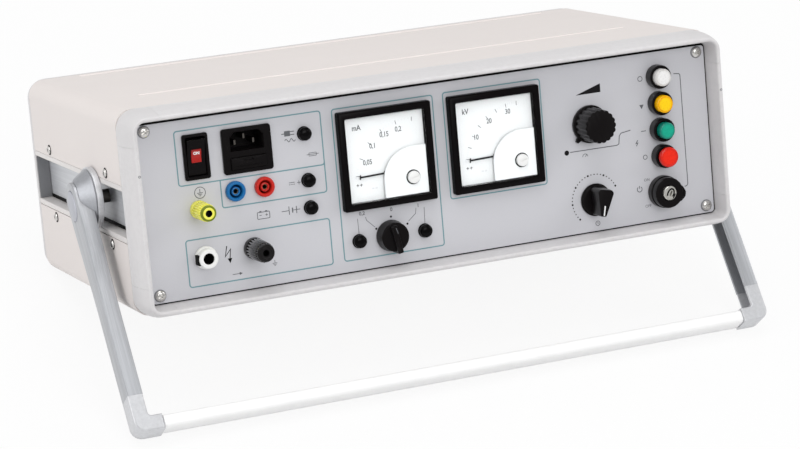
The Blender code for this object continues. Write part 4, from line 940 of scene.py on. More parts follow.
def build_panel_lines():
    lines = Print()
    for corners in ((-194.8, 16.5, -85.4, 55.2), (-194.0, -56.0, -85.6, -22.5),
                    (-76.6, -55.5, 1.4, 54.8), (9.6, -22.8, 87.0, 55.2)):
        lines.box(*corners, 0.9)
    lines.line([(-164.3, 16.5), (-164.3, -1.8), (-163.7, -3.0), (-162.6, -3.3),
                (-87.4, -3.3), (-86.0, -2.8), (-85.4, -1.4), (-85.4, 18.0)], 0.9)
    piece("teal_lines", lines.shape, FACE, teal_ink)
    route = Print()
    for width, path in (
        (0.65, [(107.4, -2.3), (146.0, -2.4), (147.6, -1.6), (148.4, 4.4), (150.0, 6.2), (157.9, 7.3)]),
        (0.65, [(196.7, 44.5), (201.2, 44.0), (202.0, 43.0),
                (202.4, -39.5), (201.4, -40.8), (199.6, -41.2)]),
        (0.4, [(-64.1, -26.1), (-63.9, -37.0)]),
        (0.4, [(-57.9, -25.8), (-57.2, -28.4), (-51.3, -34.1)]),
        (0.4, [(-25.0, -33.8), (-19.0, -28.9), (-18.4, -25.0)]),
        (0.4, [(-12.0, -25.3), (-12.4, -37.8)]),
    ):
        route.line(path, width)
    piece("grey_lines", route.shape, FACE, grey_ink)


def build_panel_symbols():
    marks = Print()
    marks.solid([(115.2, 39.0), (135.6, 39.0), (135.6, 45.4)])
    marks.dot(104.6, -2.4, 1.9)
    for x, y in ((-50.4, -35.5), (-38.3, -28.4), (-26.0, -35.5)):
        marks.dot(x, y, 0.8)
    marks.solid([(-164.4, -39.6), (-160.9, -39.6), (-162.6, -43.2)])
    marks.line([(-164.2, -30.6), (-165.9, -38.0), (-161.6, -33.2), (-162.6, -40.0)], 0.7)
    for i, (x, y) in enumerate(arc((125.0, -40.2), 18.9, 224, 25, 25)):
        marks.dot(x, y, 0.45 if i % 5 else 0.75)
    piece("black_symbols", marks.shape, FACE, black_ink)
    soft = Print()
    soft.circle(-179.9, 10.0, 4.0, 0.5)
    soft.earth_sign(-179.9, 10.0, 0.5, 2.6, ((2.1, 0.2), (1.4, 1.2), (0.7, 2.2)))
    soft.strokes(-113.8, -12.5, 0.5, [(-7, 0), (-1.6, 0)], [(1.6, 0), (7, 0)])
    soft.strokes(-113.8, -12.5, 0.6, [(-1.4, -3), (-1.4, 3)], [(4.2, -2.6), (4.2, 2.6)])
    soft.strokes(-113.8, -12.5, 0.9, [(1.2, -1.8), (1.2, 1.8)])
    soft.circle(168.7, 44.3, 1.8, 0.5)
    soft.solid([(166.6, 24.9), (170.2, 24.9), (168.4, 21.6)])
    soft.line([(166.6, 5.1), (170.6, 5.1)], 0.6)
    soft.circle(168.5, -14.6, 1.6, 0.5)
    soft.words("ON", 168.4, -31.8, 3.0)
    soft.words("OFF", 168.3, -51.6, 3.0)
    piece("grey_symbols", soft.shape, FACE, grey_ink)
    build_panel_pictograms()


def build_panel_pictograms():
    """Small generic signs beside the fittings."""
    signs = Print()
    for text, x, y in (("0,2", -60.4, -22.9), ("0", -37.6, -23.3), ("1", -16.6, -23.5)):
        signs.words(text, x, y, 3.8, bold=0.06)
    # mains plug, with a wave under it
    signs.block(-113.6, 40.5, -109.2, 44.3)
    signs.strokes(-109.6, 42.4, 0.6,
                  [(0.4, -1.1), (3.6, -1.1)], [(0.4, 1.1), (3.6, 1.1)], [(-6.2, 0), (-4, 0)])
    signs.strokes(-109.6, 37.4, 0.5, [(-4 + 0.5 * i, 1.1 * math.sin(math.pi * i / 4)) for i in range(17)])
    # fuse
    signs.strokes(-93.6, 25.2, 0.4, [(-4.6, 0), (4.6, 0)])
    signs.box(-96.4, 24.1, -90.8, 26.3, 0.4, 0.3)
    # direct current and its plus
    signs.strokes(-108.9, 6.5, 0.45,
                  [(-4.6, 0.7), (-0.2, 0.7)], [(1.6, 0), (4.4, 0)], [(3.0, -1.4), (3.0, 1.4)])
    for left in (-4.6, -2.95, -1.3):
        signs.strokes(-108.9, 6.5, 0.45, [(left, -0.7), (left + 1.1, -0.7)])
    # battery
    signs.box(-139.2, -15.3, -130.0, -10.5, 0.5, 0.5)
    signs.strokes(-134.6, -12.9, 0.45,
                  [(-3.2, 0.2), (-1.4, 0.2)], [(1.4, 0.2), (3.2, 0.2)], [(2.3, -0.7), (2.3, 1.1)])
    for left in (-137.6, -133.2):
        signs.block(left, -10.5, left + 1.6, -9.6)
    # arrow to the high voltage output, and earth
    signs.strokes(-158.4, -51.6, 0.45, [(-3.4, 0), (3.4, 0)])
    signs.solid([(-156.5, -52.7), (-156.5, -50.5), (-154.2, -51.6)])
    signs.earth_sign(-129.5, -47.9, 0.4, 1.8, ((1.8, 0.4), (1.2, 1.3), (0.6, 2.2)))
    # flash, power sign, meter and clock
    signs.strokes(162.5, -3.2, 0.6, [(0.8, 2.2), (-0.8, -0.1), (0.7, 0.1), (-0.6, -2.2)])
    signs.strokes(162.0, -38.0, 0.6, arc((0, 0), 2.0, 125, 415, 20), [(0, 2.6), (0, 0.4)])
    signs.strokes(119.4, -7.2, 0.45, arc((0, 0), 2.1, 0, 180, 12), [(0, 0), (1.2, 1.5)])
    signs.circle(125.6, -58.2, 1.7, 0.45)
    signs.strokes(125.6, -58.2, 0.4, [(0, 1.0), (0, 0), (0.8, 0)])
    piece("panel_pictograms", signs.shape, FACE, grey_ink)


# Fittings

def build_switch():
    house = stepped(19, 32.6, 1.6, ((GAP, 0), (1.3, 0), (1.7, 0.12), (1.92, 0.35), (2.0, 0.7)))
    body = prism(round_rect(16, 29.6, 0.8, 3), -14, 0.8)
    mouth = prism(round_rect(13.8, 27.4, 0.5, 3), -12, 5)
    funnel = stepped(13.8, 27.4, 0.5, ((0.8, 0), (2.6, -0.9)), 3)
    piece("switch_surround", worked(house, [body], [mouth, funnel]), FACE, black_satin,
          nodes=["switch_housing"], at=SWITCH_AT, crisp=40)
    reach = 12.9
    outline = [(-reach, 1.0), (-reach, 3.0), (-reach + 0.25, 3.4), (-reach + 0.8, 3.6)]
    saddle = [-reach + 0.8 + (2 * reach - 1.6) * i / 16 for i in range(1, 16)]
    outline += [(u, 2.0 + 1.6 * (abs(u) / (reach - 0.8)) ** 1.3) for u in saddle]
    outline += [(-u, z) for u, z in reversed(outline[:4])] + [(8.0, -4.0), (-8.0, -4.0)]
    rocker = prism(outline, -6.55, 6.55, "X")
    tilt = Matrix.Rotation(math.radians(8), 4, "X")
    key = FACE @ Matrix.Translation(Vector((*SWITCH_AT, -1.0)) * MM) @ tilt
    lens_pocket = moved(prism(round_rect(7.7, 10.0, 0.8, 4), 1.2, 6), y=1.0)
    piece("rocker_key", worked(rocker, cuts=[lens_pocket]), key, black_satin, "rocker", ["rocker"],
          soften=0.25)
    across = [-3.85 + 9.7 * i / 20 for i in range(21)]
    dish = [(u, 2.35 + 1.6 * (abs(u) / 12.1) ** 1.3) for u in across]
    lens = prism(dish + [(5.85, 1.1), (-3.85, 1.1)], -3.7, 3.7, "X")
    piece("rocker_lens", lens, key, rocker_red, "rocker", soften=0.3)
    marks = Print(2.45, 0.36)
    marks.words("ON", 0, 3.0, 2.9, bold=0.12)
    piece("rocker_marks", marks.shape, key, white_ink, "rocker")


def build_inlet():
    house = stepped(37, 32.6, 2.2, ((GAP, 0), (1.6, 0), (2.05, 0.12), (2.3, 0.4), (2.4, 0.9)))
    body = prism(round_rect(32, 29.6, 1.2, 3), -26, 0.8)
    mouth = [(-12, -6.5), (12, -6.5), (12, 3.1), (8.6, 6.5), (-8.6, 6.5), (-12, 3.1)]
    hollow = moved(prism(mouth, -17, 5), y=6.6)
    funnel = skin([[(x * s, y * s + 6.6, z) for x, y in mouth] for s, z in ((1.0, 0.9), (1.1, 3.2))])
    drawer_hole = moved(prism(round_rect(27, 9, 0.8, 3), -21.3, 5), y=-8.9)
    piece("inlet_body", worked(house, [body], [hollow, funnel, drawer_hole]), FACE, black_satin,
          nodes=["inlet_housing"], at=INLET_AT, crisp=40)
    # the pins are darkened nickel: painted shade inside the inlet's mouth
    blades = bmesh.new()
    for dx, dy in ((-7.0, 5.2), (0.0, 9.0), (7.0, 5.2)):
        blade = moved(stepped(2.0, 4.0, 0.5, ((-17.2, 0), (-4.6, 0), (-4.0, 0.35)), 3), dx, dy)
        pin = mesh_of("pin", blade)
        blades.from_mesh(pin)
        bpy.data.meshes.remove(pin)
    piece("inlet_pins", blades, FACE, shade_darkened_nickel, at=INLET_AT, crisp=40)
    front = stepped(27, 9, 0.8, ((-21, 0.3), (2.8, 0.3), (3.3, 0.45), (3.6, 1.0)), 4)
    notch = moved(prism(round_rect(7.0, 1.5, 0.6, 3), 2.6, 5), y=2.2)
    grip_line = moved(prism(round_rect(20.0, 0.6, 0.25, 2), 3.2, 5), y=-2.0)
    piece("fuse_holder", worked(front, cuts=[notch, grip_line]), FACE, black_satin, "fuse_drawer",
          ["fuse_drawer"], at=(INLET_AT[0], INLET_AT[1] - 8.9), crisp=40)


def build_jacks():
    for name, at, finish in (("blue", BLUE_AT, blue_moulded), ("red", RED_AT, red_moulded)):
        profile = [
            (0, -20), (5.2, -20), (5.2, GAP), (7.2, GAP), (7.2, 2.7), (7.05, 3.3), (6.6, 3.75), (6.0, 3.85),
            (5.3, 3.75), (4.9, 3.3), (4.7, 2.6), (4.7, -9), (3.3, -9), (3.3, 2.2), (3.1, 2.7), (2.6, 2.85),
            (2.15, 2.6), (2.0, 2.2), (2.0, -14), (0, -14),
        ]
        piece(f"{name}_jack", turned(profile), FACE, finish, nodes=[f"{name}_socket"], at=at, crisp=40)
        sleeve = [(2.02, -13.9), (2.02, 1.2), (1.6, 1.2), (1.6, -13.9)]
        piece(f"{name}_jack_sleeve", tube(sleeve, 32), FACE, contact_metal, at=at, crisp=40)


def knurled(radius, low, high, grooves, depth, round_top=1.2, taper=0.0):
    """Rings of a fluted cylinder that narrows by a taper towards its front."""
    rings = []
    steps = grooves * 8
    edge = 0.35 * round_top
    levels = ((low, 0.25), (low + 0.5, 0.0),
              (high - round_top, 0.0), (high - edge, edge), (high, round_top))
    for z, inset in levels:
        inset += taper * (z - low) / (high - low)
        ring = []
        for i in range(steps):
            phase = 2 * math.pi * (i % 8) / 8
            r = radius - inset - depth * (0.5 - 0.5 * math.cos(phase)) ** 2
            angle = 2 * math.pi * i / steps
            ring.append((r * math.cos(angle), r * math.sin(angle), z))
        rings.append(ring)
    return rings


def build_post(name, at, radius, reach, taper, base_finish, cap_finish, ring_finish):
    """Binding post: stud and base, and the screwed cap with a coloured ring around its bored face."""
    base = [(0, -14), (3.6, -14), (3.6, GAP), (radius, GAP), (radius, 4.4), (radius - 0.15, 4.8),
            (radius - 0.5, 5.0), (2.6, 5.0), (2.6, 17.0), (0, 17.0)]
    piece(f"{name}_terminal", turned(base), FACE, base_finish, nodes=[f"{name}_post_base"], at=at, crisp=40)
    rim = radius - taper - 0.6
    end = reach - 2.4
    body = skin(knurled(radius, 5.3, end, 22, 0.6, 0.6, taper))
    nose = [(0, end - 1), (4.3, end - 1), (4.3, reach - 0.3), (4.15, reach - 0.05), (3.9, reach),
            (0, reach)]
    bore = [(0, 4), (2.9, 4), (2.9, 17.3), (2.5, 17.7), (2.5, reach + 1), (0, reach + 1)]
    piece(f"{name}_terminal_cap", worked(body, [turned(nose)], [turned(bore, 40)]), FACE, cap_finish,
          f"{name}_post_cap", [f"{name}_post_cap"], at=at, crisp=30)
    ring = [(4.32, 0.02), (rim - 0.15, 0.02), (rim, 0.2), (rim, 1.6), (rim - 0.15, 2.0),
            (rim - 0.45, 2.25), (rim - 0.8, 2.3), (4.32, 2.3)]
    ring = [(r, end + z) for r, z in ring]
    piece(f"{name}_terminal_ring", tube(ring), FACE, ring_finish, f"{name}_post_cap", at=at, crisp=40)
    # black lining of the bore: painted shade inside it
    bore_shade_lining = [(0, 17.8), (2.49, 17.8), (2.49, reach - 0.25), (2.3, reach - 0.2), (2.1, reach - 0.5),
              (2.1, 18.2), (0, 18.2)]
    piece(f"{name}_terminal_bore_shade", turned(bore_shade_lining, 32), FACE, black_plastic_and_shade, f"{name}_post_cap",
          at=at, crisp=40)


def build_hv_socket():
    profile = [
        (0, -24), (5.9, -24), (5.9, GAP), (8.3, GAP), (8.3, 1.4), (8.1, 1.9), (7.6, 2.15), (7.1, 2.4),
        (7.1, 6.9), (6.95, 7.5), (6.5, 7.9), (6.0, 8.0), (4.6, 8.0), (4.15, 7.8), (4.0, 7.3), (4.0, -12),
        (0, -12),
    ]
    notch = moved(prism(round_rect(4.4, 7.4, 0.5, 3), 0.5, 6.6), -7.2, -0.5)
    piece("hv_insulator", worked(turned(profile), cuts=[notch]), FACE, white_moulded, nodes=["hv_socket"],
          at=HV_AT, crisp=40)
    # black block filling the notch: painted shade of the notch's inside
    key = moved(prism(round_rect(2.8, 7.2, 0.5, 3), 0.55, 6.5), -6.5, -0.5)
    piece("hv_notch_shade", key, FACE, black_plastic_and_shade, at=HV_AT)
    # the contact is darkened nickel: painted shade at the bottom of the bore
    core = [(0, -11.9), (3.9, -11.9), (3.9, -11), (1.8, -11), (1.8, -4.6), (1.4, -4.0), (0, -4.0)]
    piece("hv_contact", turned(core, 32), FACE, shade_darkened_nickel, at=HV_AT, crisp=40)
    # black lining of the bore: painted shade inside it
    bore_shade_lining = [(3.99, -11.8), (3.99, 7.0), (3.65, 6.8), (3.65, -11.8)]
    piece("hv_bore_shade", tube(bore_shade_lining, 40), FACE, black_plastic_and_shade, at=HV_AT, crisp=40)


def scale_angle(meter, value):
    """Direction of a reading from a needle's pivot, in degrees."""
    per_unit = (17.3 / 0.05, 23.5 / 10)[meter]
    return 172.0 - value * per_unit


def build_meter(meter):
    number = meter + 1
    at = METER_AT[meter]
    px, py = NEEDLE_FROM_MIDDLE
    bezel = stepped(72, 72, 1.5, ((GAP, 0), (4.9, 0), (5.5, 0.15), (5.95, 0.5), (6.2, 1.1)))
    can = prism(ring_of(32.4, 64), -34, 1.0)
    pocket = stepped(61.2, 61.2, 1.0, ((DIAL, 0), (5.0, 0), (8.0, -1.4)), 4)
    piece(f"meter_{number}_case", worked(bezel, [can], [pocket]), FACE, black_gloss,
          nodes=[f"meter_{number}_housing"], at=at, crisp=35)
    card = stepped(60.9, 60.9, 0.9, ((DIAL, 0), (DIAL + 0.25, 0)), 4)
    piece(f"meter_{number}_dial", card, FACE, dial_card, at=at)
    build_scale(meter)
    shield = arc((px, py), 22.5, 90, 180, 24) + [(px - 22.5, -30.1), (30.1, -30.1), (30.1, py + 22.5)]
    cover = skin([[(x, y, z) for x, y in shield] for z in (3.35, 4.2)])
    piece(f"meter_{number}_shield", cover, FACE, dial_card, at=at, soften=0.2)
    # thin pale grey line along the shield's edge: painted shade of its raised rim
    edge = Print(4.2, 0.04)
    edge.line(arc((px, py), 22.2, 100, 180, 24) + [(px - 22.2, -29.8)], 0.5)
    piece(f"meter_{number}_shield_shadow_line", edge.shape, FACE, pale_ink_and_shade, at=at)
    pivot = (at[0] + px, at[1] + py)
    blade = [(-40.2, -0.55), (-21.6, 2.3), (-13.0, 1.2), (-3.0, -0.9), (0.0, -1.1)]
    blade += arc((0, 0), 2.6, -60, 60, 10)
    blade += [(0.0, 1.1), (-12.0, 2.6), (-21.6, 3.6), (-40.2, 0.7)]
    tip = round_rect(0.8, 3.3, 0.1, 2)
    tips = [moved(prism(tip, 2.5, 3.1), x, y) for x, y in ((-40.4, 0.1), (-21.8, 2.9))]
    needle = worked(prism(blade, 2.5, 3.1), [prism(ring_of(1.6, 24), 1.72, 3.2), *tips])
    piece(f"meter_{number}_pointer", needle, FACE, needle_black, f"meter_{number}_needle",
          [f"meter_{number}_needle"], at=pivot, turn=-7.0)
    # black ring round the zero adjuster: painted shade of the gap around it
    seal = tube([(4.6, 4.2), (5.4, 4.2), (5.4, 4.36), (4.6, 4.36)], 48)
    piece(f"meter_{number}_zero_shadow_ring", seal, FACE, black_plastic_and_shade, at=pivot)
    knob = [(0, 4.4), (4.5, 4.4), (4.5, 6.2), (4.35, 6.55), (3.9, 6.7), (0, 6.7)]
    slot = prism(round_rect(6.6, 0.9, 0.3, 3), 6.1, 8)
    piece(f"meter_{number}_zero_screw", worked(turned(knob), cuts=[slot]), FACE, white_moulded,
          f"meter_{number}_adjuster", [f"meter_{number}_zero_adjuster"], at=pivot, turn=12.0)
    recoat(f"meter_{number}_window", clear_window)


def build_scale(meter):
    """Ticks and figures of a dial."""
    number, at = meter + 1, METER_AT[meter]
    px, py = NEEDLE_FROM_MIDDLE
    bold, fine = Print(DIAL + 0.25, 0.05), Print(DIAL + 0.25, 0.04)
    steps, top_value = ((25, 0.25), (35, 35.0))[meter]
    for i in range(steps + 1):
        angle = math.radians(scale_angle(meter, top_value * i / steps))
        ink, inner, wide = (fine, 41.6, 0.25) if i % 5 else (bold, 40.2, 0.42)
        ink.line([(px + r * math.cos(angle), py + r * math.sin(angle)) for r in (inner, 43.2)], wide)
    labels = (((-14.6, -2.7, "0,05"), (-9.7, 8.6, "0,1"), (-0.1, 15.6, "0,15"), (11.0, 18.0, "0,2")),
              ((-15.1, 3.4, "10"), (-3.8, 13.9, "20"), (11.5, 18.8, "30")))[meter]
    for x, y, text in labels:
        bold.words(text, x, y, 5.2, bold=0.08, narrow=0.8)
    bold.words(("mA", "kV")[meter], (-21.1, -22.1)[meter], 23.0, 5.6, bold=0.1, narrow=0.85)
    for x, y in ((-23.6, -18.2), (-20.8, -18.2)):
        bold.line([(x - 1.0, y), (x + 1.0, y)], 0.5)
        bold.line([(x, y - 1.1), (x, y + 0.9)], 0.5)
    piece(f"meter_{number}_scale", bold.shape, FACE, figure_ink, at=at)
    fine.words("0", -24.4, -12.6, 3.4, narrow=0.8)
    for x in (-12.0, -9.4):
        fine.line([(x - 0.9, -21.9), (x + 0.9, -21.9)], 1.0)
    piece(f"meter_{number}_fine_scale", fine.shape, FACE, pale_ink_and_shade, at=at)


def shaft():
    return prism(ring_of(3.0, 32), -16, 2)


def wing_knob(radius, body_h, height, wing):
    """Round body under a wing to grip, narrow at the end that points to the scale."""
    edge = 0.92 * radius
    body = turned([(0, GAP), (radius - 0.25, GAP), (radius, 0.55), (radius, 1.5), (radius - 0.15, 1.8),
                   (edge, body_h - 0.85), (edge - 0.2, body_h - 0.35), (edge - 0.6, body_h - 0.08),
                   (edge - 1.1, body_h), (0, body_h)])
    side = [(wide * radius, along * radius) for wide, along in wing]
    outline = eased(side + [(-a, b) for a, b in reversed(side)], 1.3)
    levels = ((1.9, 0.0), (height - 1.1, 0.25), (height - 0.55, 0.38), (height - 0.18, 0.6), (height, 1.0))
    rings = [[(a, b, z) for a, b in inset_outline(outline, inset)] for z, inset in levels]
    return worked(body, [skin(rings), shaft()])


def build_knobs():
    for name, at, turn, (radius, body_h, height), wing, ink, stroke, wide in (
        ("range", RANGE_AT, 11.0, (11.5, 9.8, 12.6), ((0.18, 0.80), (0.24, 0.72), (0.21, -1.08)),
         grey_ink, [(0.9, 7.2), (1.4, 2.6)], 0.5),
        ("timer", TIMER_AT, -11.0, (12.2, 3.2, 17.0), ((0.40, 0.79), (0.56, 0.61), (0.20, -0.90)),
         white_ink, [(0, -2.6), (0, -9.9)], 1.0),
    ):
        piece(f"{name}_selector", wing_knob(radius, body_h, height, wing), FACE, black_satin,
              f"{name}_knob", [f"{name}_knob"], at=at, turn=turn, crisp=35)
        line = Print(height, 0.05)
        line.line(stroke, wide)
        piece(f"{name}_line", line.shape, FACE, ink, f"{name}_knob", at=at, turn=turn)
    skirt = turned([(0, GAP), (13.9, GAP), (14.2, 0.6), (14.2, 2.1), (13.95, 2.7), (13.5, 3.2),
                    (12.9, 3.4), (0, 3.4)])
    flutes = skin(knurled(12.9, 2.9, 20.0, 18, 0.8, 1.1, 0.45))
    lug = [(12.2, -2.6), (17.0, -1.1), (17.2, -0.7), (17.2, 0.7), (17.0, 1.1), (12.2, 2.6)]
    knob = worked(skirt, [flutes, moved(prism(lug, 0.6, 2.2), turn=225), shaft()])
    piece("voltage_control", knob, FACE, black_satin, "voltage_knob", ["voltage_knob"],
          at=VOLTAGE_AT, crisp=35)


def build_column():
    """Two pilot lamps over two lit push buttons."""
    places = [(COLUMN_X, COLUMN_TOP - i * COLUMN_PITCH) for i in range(4)]
    collar = [(8.8, GAP), (8.8, 6.9), (8.68, 7.45), (8.35, 7.85), (7.85, 8.0), (7.3, 8.0)]
    for i, (name, finish) in enumerate((("white", lens_white), ("yellow", lens_yellow))):
        ring = [(6.85, -18), (7.4, -18), (7.4, GAP)] + collar + [(6.95, 7.8)]
        piece(f"{name}_lamp_collar", tube(ring), FACE, black_satin, at=places[i], crisp=40)
        dome = [(0, -17), (6.45, -17), (6.45, 11.3), (6.35, 11.75), (6.1, 12.0), (5.85, 12.05), (5.7, 11.6),
                (5.35, 11.6), (5.2, 12.15), (4.0, 12.3), (2.2, 12.38), (0, 12.4)]
        piece(f"{name}_lamp_lens", turned(dome), FACE, finish, nodes=[f"{name}_lamp"],
              at=places[i], crisp=40)
    for i, (name, finish, wide) in enumerate((("green", lens_green, 0.0), ("red", lens_red, 1.3)), 2):
        ring = [(6.5, -18), (7.4, -18), (7.4, GAP)] + collar + [(6.6, 7.7)]
        piece(f"{name}_button_ring", tube(ring), FACE, black_satin, nodes=[f"{name}_button_collar"],
              at=places[i], crisp=40)
        stem, head = 6.2, 6.2 + wide
        cap = [(0, -12), (stem, -12), (stem, 10.4), (head, 10.5), (head, 12.1), (head - 0.12, 12.5),
               (0.93 * head, 12.8), (0.8 * head, 12.95), (0.5 * head, 13.0), (0, 13.0)]
        piece(f"{name}_push_cap", turned(cap), FACE, finish, f"{name}_button", [f"{name}_button_cap"],
              at=places[i], crisp=40)


def build_key_switch():
    base = [(5.9, -22), (9.5, -22), (9.5, GAP), (12.1, GAP), (12.1, 4.9), (12.0, 5.4), (11.75, 5.8),
            (11.4, 6.1), (11.4, 10.9), (11.2, 11.45), (10.8, 11.85), (10.2, 12.0), (6.3, 12.0), (5.9, 11.8)]
    lug = [(7.6, -7.4), (11.3, -5.4), (13.2, -3.0), (13.9, -1.7), (14.0, -0.9), (14.0, 0.9), (13.9, 1.7),
           (13.2, 3.0), (11.3, 5.4), (7.6, 7.4)]
    rings = [[(x, y * narrow, z) for x, y in lug] for z, narrow in ((5.4, 1.0), (10.4, 1.0), (10.8, 0.95))]
    groove = moved(moved(prism(round_rect(0.5, 7.0, 0.2, 3), 10.4, 13), 11.6), turn=-20)
    collar = worked(tube(base), [moved(skin(rings), turn=-11)], [groove])
    piece("key_switch_body", collar, FACE, black_satin, nodes=["key_switch_collar"], at=KEY_AT, crisp=40)
    plug = [(0, -20), (5.6, -20), (5.6, 11.3), (5.3, 11.6), (5.3, 12.4), (5.0, 12.7), (0, 12.7)]
    keyway = moved(prism(round_rect(1.2, 3.8, 0.4, 3), 7, 15), 0.5, -0.2, turn=-30)
    arch = [(3.1 * x, 4.5 * y) for x, y in arc((0, 0), 1, -20, 220, 24)]
    arch += [(1.85 * x, 3.2 * y) for x, y in arc((0, 0), 1, 220, -20, 24)]
    race = moved(prism(arch, 11.3, 15), 0.3, -0.5, turn=-30)
    side = moved(prism([(2.2, -6.5), (6.5, -6.5), (6.5, 1.4), (3.4, 0.2)], 12.0, 15), turn=-18)
    piece("key_switch_plug", worked(turned(plug), cuts=[keyway, race, side]), FACE, lock_metal, "key_plug",
          ["key_plug"], at=KEY_AT, crisp=40)
    # black floor of the curved race: painted shade of a deep slot
    shade_patch = moved(prism(inset_outline(arch, 0.05), 11.3, 11.5), 0.3, -0.5, turn=-30)
    piece("key_switch_race_shade", shade_patch, FACE, black_plastic_and_shade, "key_plug", at=KEY_AT)
    # black patch in a shallow cut of the plug's face: painted dark reflection on the steel
    flank = moved(prism(arc((0, 0), 4.9, -70, 5, 10) + [(3.6, 0.2), (2.4, -3.0)], 11.9, 12.1), turn=-18)
    piece("key_switch_dark_reflection", flank, FACE, black_plastic_and_shade, "key_plug", at=KEY_AT)


# Carrying handle

def build_pivots():
    for name, sx in SIDES:
        quarter_turn = Matrix.Rotation(sx * math.pi / 2, 4, "Y")
        sideways = CASE @ Matrix.Translation(Vector((0, *PIVOT)) * MM) @ quarter_turn
        # the boss is darkened nickel: painted shade inside the channel
        boss = [(0, 222.9), (5.0, 222.9), (5.0, 232.95), (0, 232.95)]
        piece(f"pivot_boss_{name}", turned(boss, 40), sideways, shade_darkened_nickel, crisp=35)
        profile = [(0, 232.9), (22.2, 232.9), (22.5, 233.2), (22.5, 236.6),
                   (22.35, 237.05), (22.0, 237.3), (6.0, 237.3), (6.0, 242.7), (5.6, 243.1), (0, 243.1)]
        piece(f"pivot_disc_{name}", turned(profile, 72), sideways, satin_cast,
              nodes=[f"pivot_plate_{name}"], crisp=35)
        cone = [(0, 237.42), (20.8, 237.42), (21.0, 237.6), (21.0, 238.3), (20.8, 238.55), (20.2, 239.0),
                (14.1, 247.9), (13.7, 248.2), (0, 248.2)]
        bore = prism(ring_of(6.3, 40), 235, 243.7)
        slot = [(sx * (y - CAP_DROP), x) for x, y in slot_outline(*CAP_SLOT)]
        pocket = prism(slot, CAP_FRONT - CAP_THICK - 2.0 - GAP, 255)
        piece(f"hub_cone_{name}", worked(turned(cone, 72), cuts=[bore, pocket]), SWING @ quarter_turn,
              satin_hub, "handle", [f"hub_{name}"], crisp=35)


def arm_side(offset, end):
    """Side view of an arm, moved in from its outline by an offset."""
    right = []
    for i in range(1, 17):
        t = i / 16
        blend = t * t * (3 - 2 * t)
        right.append((12.48 + (9.0 - 12.48) * blend - offset, -4.55 + t * (-95.0 + 4.55)))
    right.append((9.0 - offset, end))
    head = arc((0, 0), 13.0 - offset, 180, 0, 30)
    return head + right + [(-a, b) for a, b in reversed(right)]


def build_arms():
    for name, sx in SIDES:
        end = ARM_SEAM + 0.05
        levels = ((ARM_INNER, 0.25), (ARM_INNER + 0.25, 0.0), (ARM_OUTER - 1.2, 0.0),
                  (ARM_OUTER - 0.75, 0.1), (ARM_OUTER - 0.35, 0.35), (ARM_OUTER - 0.1, 0.75),
                  (ARM_OUTER, 1.2))
        rings = [[(sx * x, a, b) for a, b in arm_side(inset, end)] for x, inset in levels]
        wide = [(6.8, end - 5), (6.8, -95), (10.8, -6.5), (10.8, 3.9)]
        wide += [(-a, b) for a, b in reversed(wide)]
        channel = prism(wide, sx * (ARM_INNER - 3), sx * (ARM_OUTER - ARM_WALL), "X")
        clear = turned([(0, 234.6), (21.15, 234.6), (21.15, 238.35), (20.35, 239.05), (14.25, 247.95),
                        (13.8, 248.35), (0, 248.35)], 72)
        bmesh.ops.rotate(clear, verts=clear.verts, matrix=Matrix.Rotation(sx * math.pi / 2, 3, "Y"))
        window = prism([(a, b - CAP_DROP) for a, b in slot_outline(*CAP_SLOT)], sx * 246, sx * 253, "X")
        piece(f"handle_arm_{name}", worked(skin(rings), cuts=[channel, clear, window]), SWING, satin_arm,
              "handle", [f"arm_{name}"], crisp=24)
        rings = []
        for back, inset in ((CAP_THICK, 0.0), (0.7, 0.0), (0.3, 0.15), (0.08, 0.4), (0.0, 0.8)):
            outline = slot_outline(16 - 2 * inset, 23 - 2 * inset, 20)
            rings.append([(sx * (CAP_FRONT - back), a, b - CAP_DROP) for a, b in outline])
        piece(f"release_button_{name}", skin(rings), SWING, cap_metal, f"{name}_release",
              [f"release_cap_{name}"], crisp=35)
        build_corner(name, sx)


def inset_outline(points, amount):
    count = len(points)
    area = sum(points[i][0] * points[(i + 1) % count][1] - points[(i + 1) % count][0] * points[i][1]
               for i in range(count))
    side = 1 if area > 0 else -1
    result = []
    for i, point in enumerate(points):
        here = Vector(point)
        before = (here - Vector(points[i - 1])).normalized()
        after = (Vector(points[(i + 1) % count]) - here).normalized()
        first = Vector((-before.y, before.x)) * side
        second = Vector((-after.y, after.x)) * side
        middle = (first + second).normalized()
        result.append(tuple(here + middle * (amount / max(middle.dot(first), 0.5))))
    return result


def build_corner(name, sx):
    """Cast corner between an arm and the grip; the arm's channel runs on into it."""
    low, high = -(ARM_LENGTH + 5.6), -(ARM_LENGTH - 5.6)
    outline = [(ARM_OUTER, ARM_SEAM)] + arc((ARM_OUTER - 8, low + 8), 8, 0, -90, 14)
    outline += [(ARM_OUTER - GRIP_LEG, low), (ARM_OUTER - GRIP_LEG, high)]
    outline += arc((ARM_INNER - 2.5, high + 2.5), 2.5, -90, 0, 6) + [(ARM_INNER, ARM_SEAM)]
    rings = []
    for y, inset in ((-9, 1.1), (-8.75, 0.55), (-8.4, 0.2), (-7.9, 0.0)):
        inner = inset_outline(outline, inset)
        inner[0], inner[-1] = (inner[0][0], ARM_SEAM), (inner[-1][0], ARM_SEAM)
        rings.append([(sx * a, y, b) for a, b in inner])
    rings += [[(x, -y, z) for x, y, z in ring] for ring in reversed(rings)]
    pocket = [(y, z) for y in (-6.8, 6.8) for z in ((high + 1.4, 0), (0, high + 1.4))[y > 0]]
    pocket = prism(pocket, sx * (ARM_INNER - 3), sx * (ARM_OUTER - ARM_WALL), "X")
    piece(f"handle_corner_{name}", worked(skin(rings), cuts=[pocket]), SWING, satin_cast, "handle",
          [f"grip_corner_{name}"], crisp=24)
    wall = ARM_OUTER - ARM_WALL
    outline = [(a - 5.4, b + high + 2.9) for a, b in ring_of(1.2, 20)]
    hole = prism(outline, sx * (wall - 0.4), sx * (wall + 0.2), "X")
    piece(f"corner_pin_{name}", hole, SWING, black_plastic_and_shade, "handle")


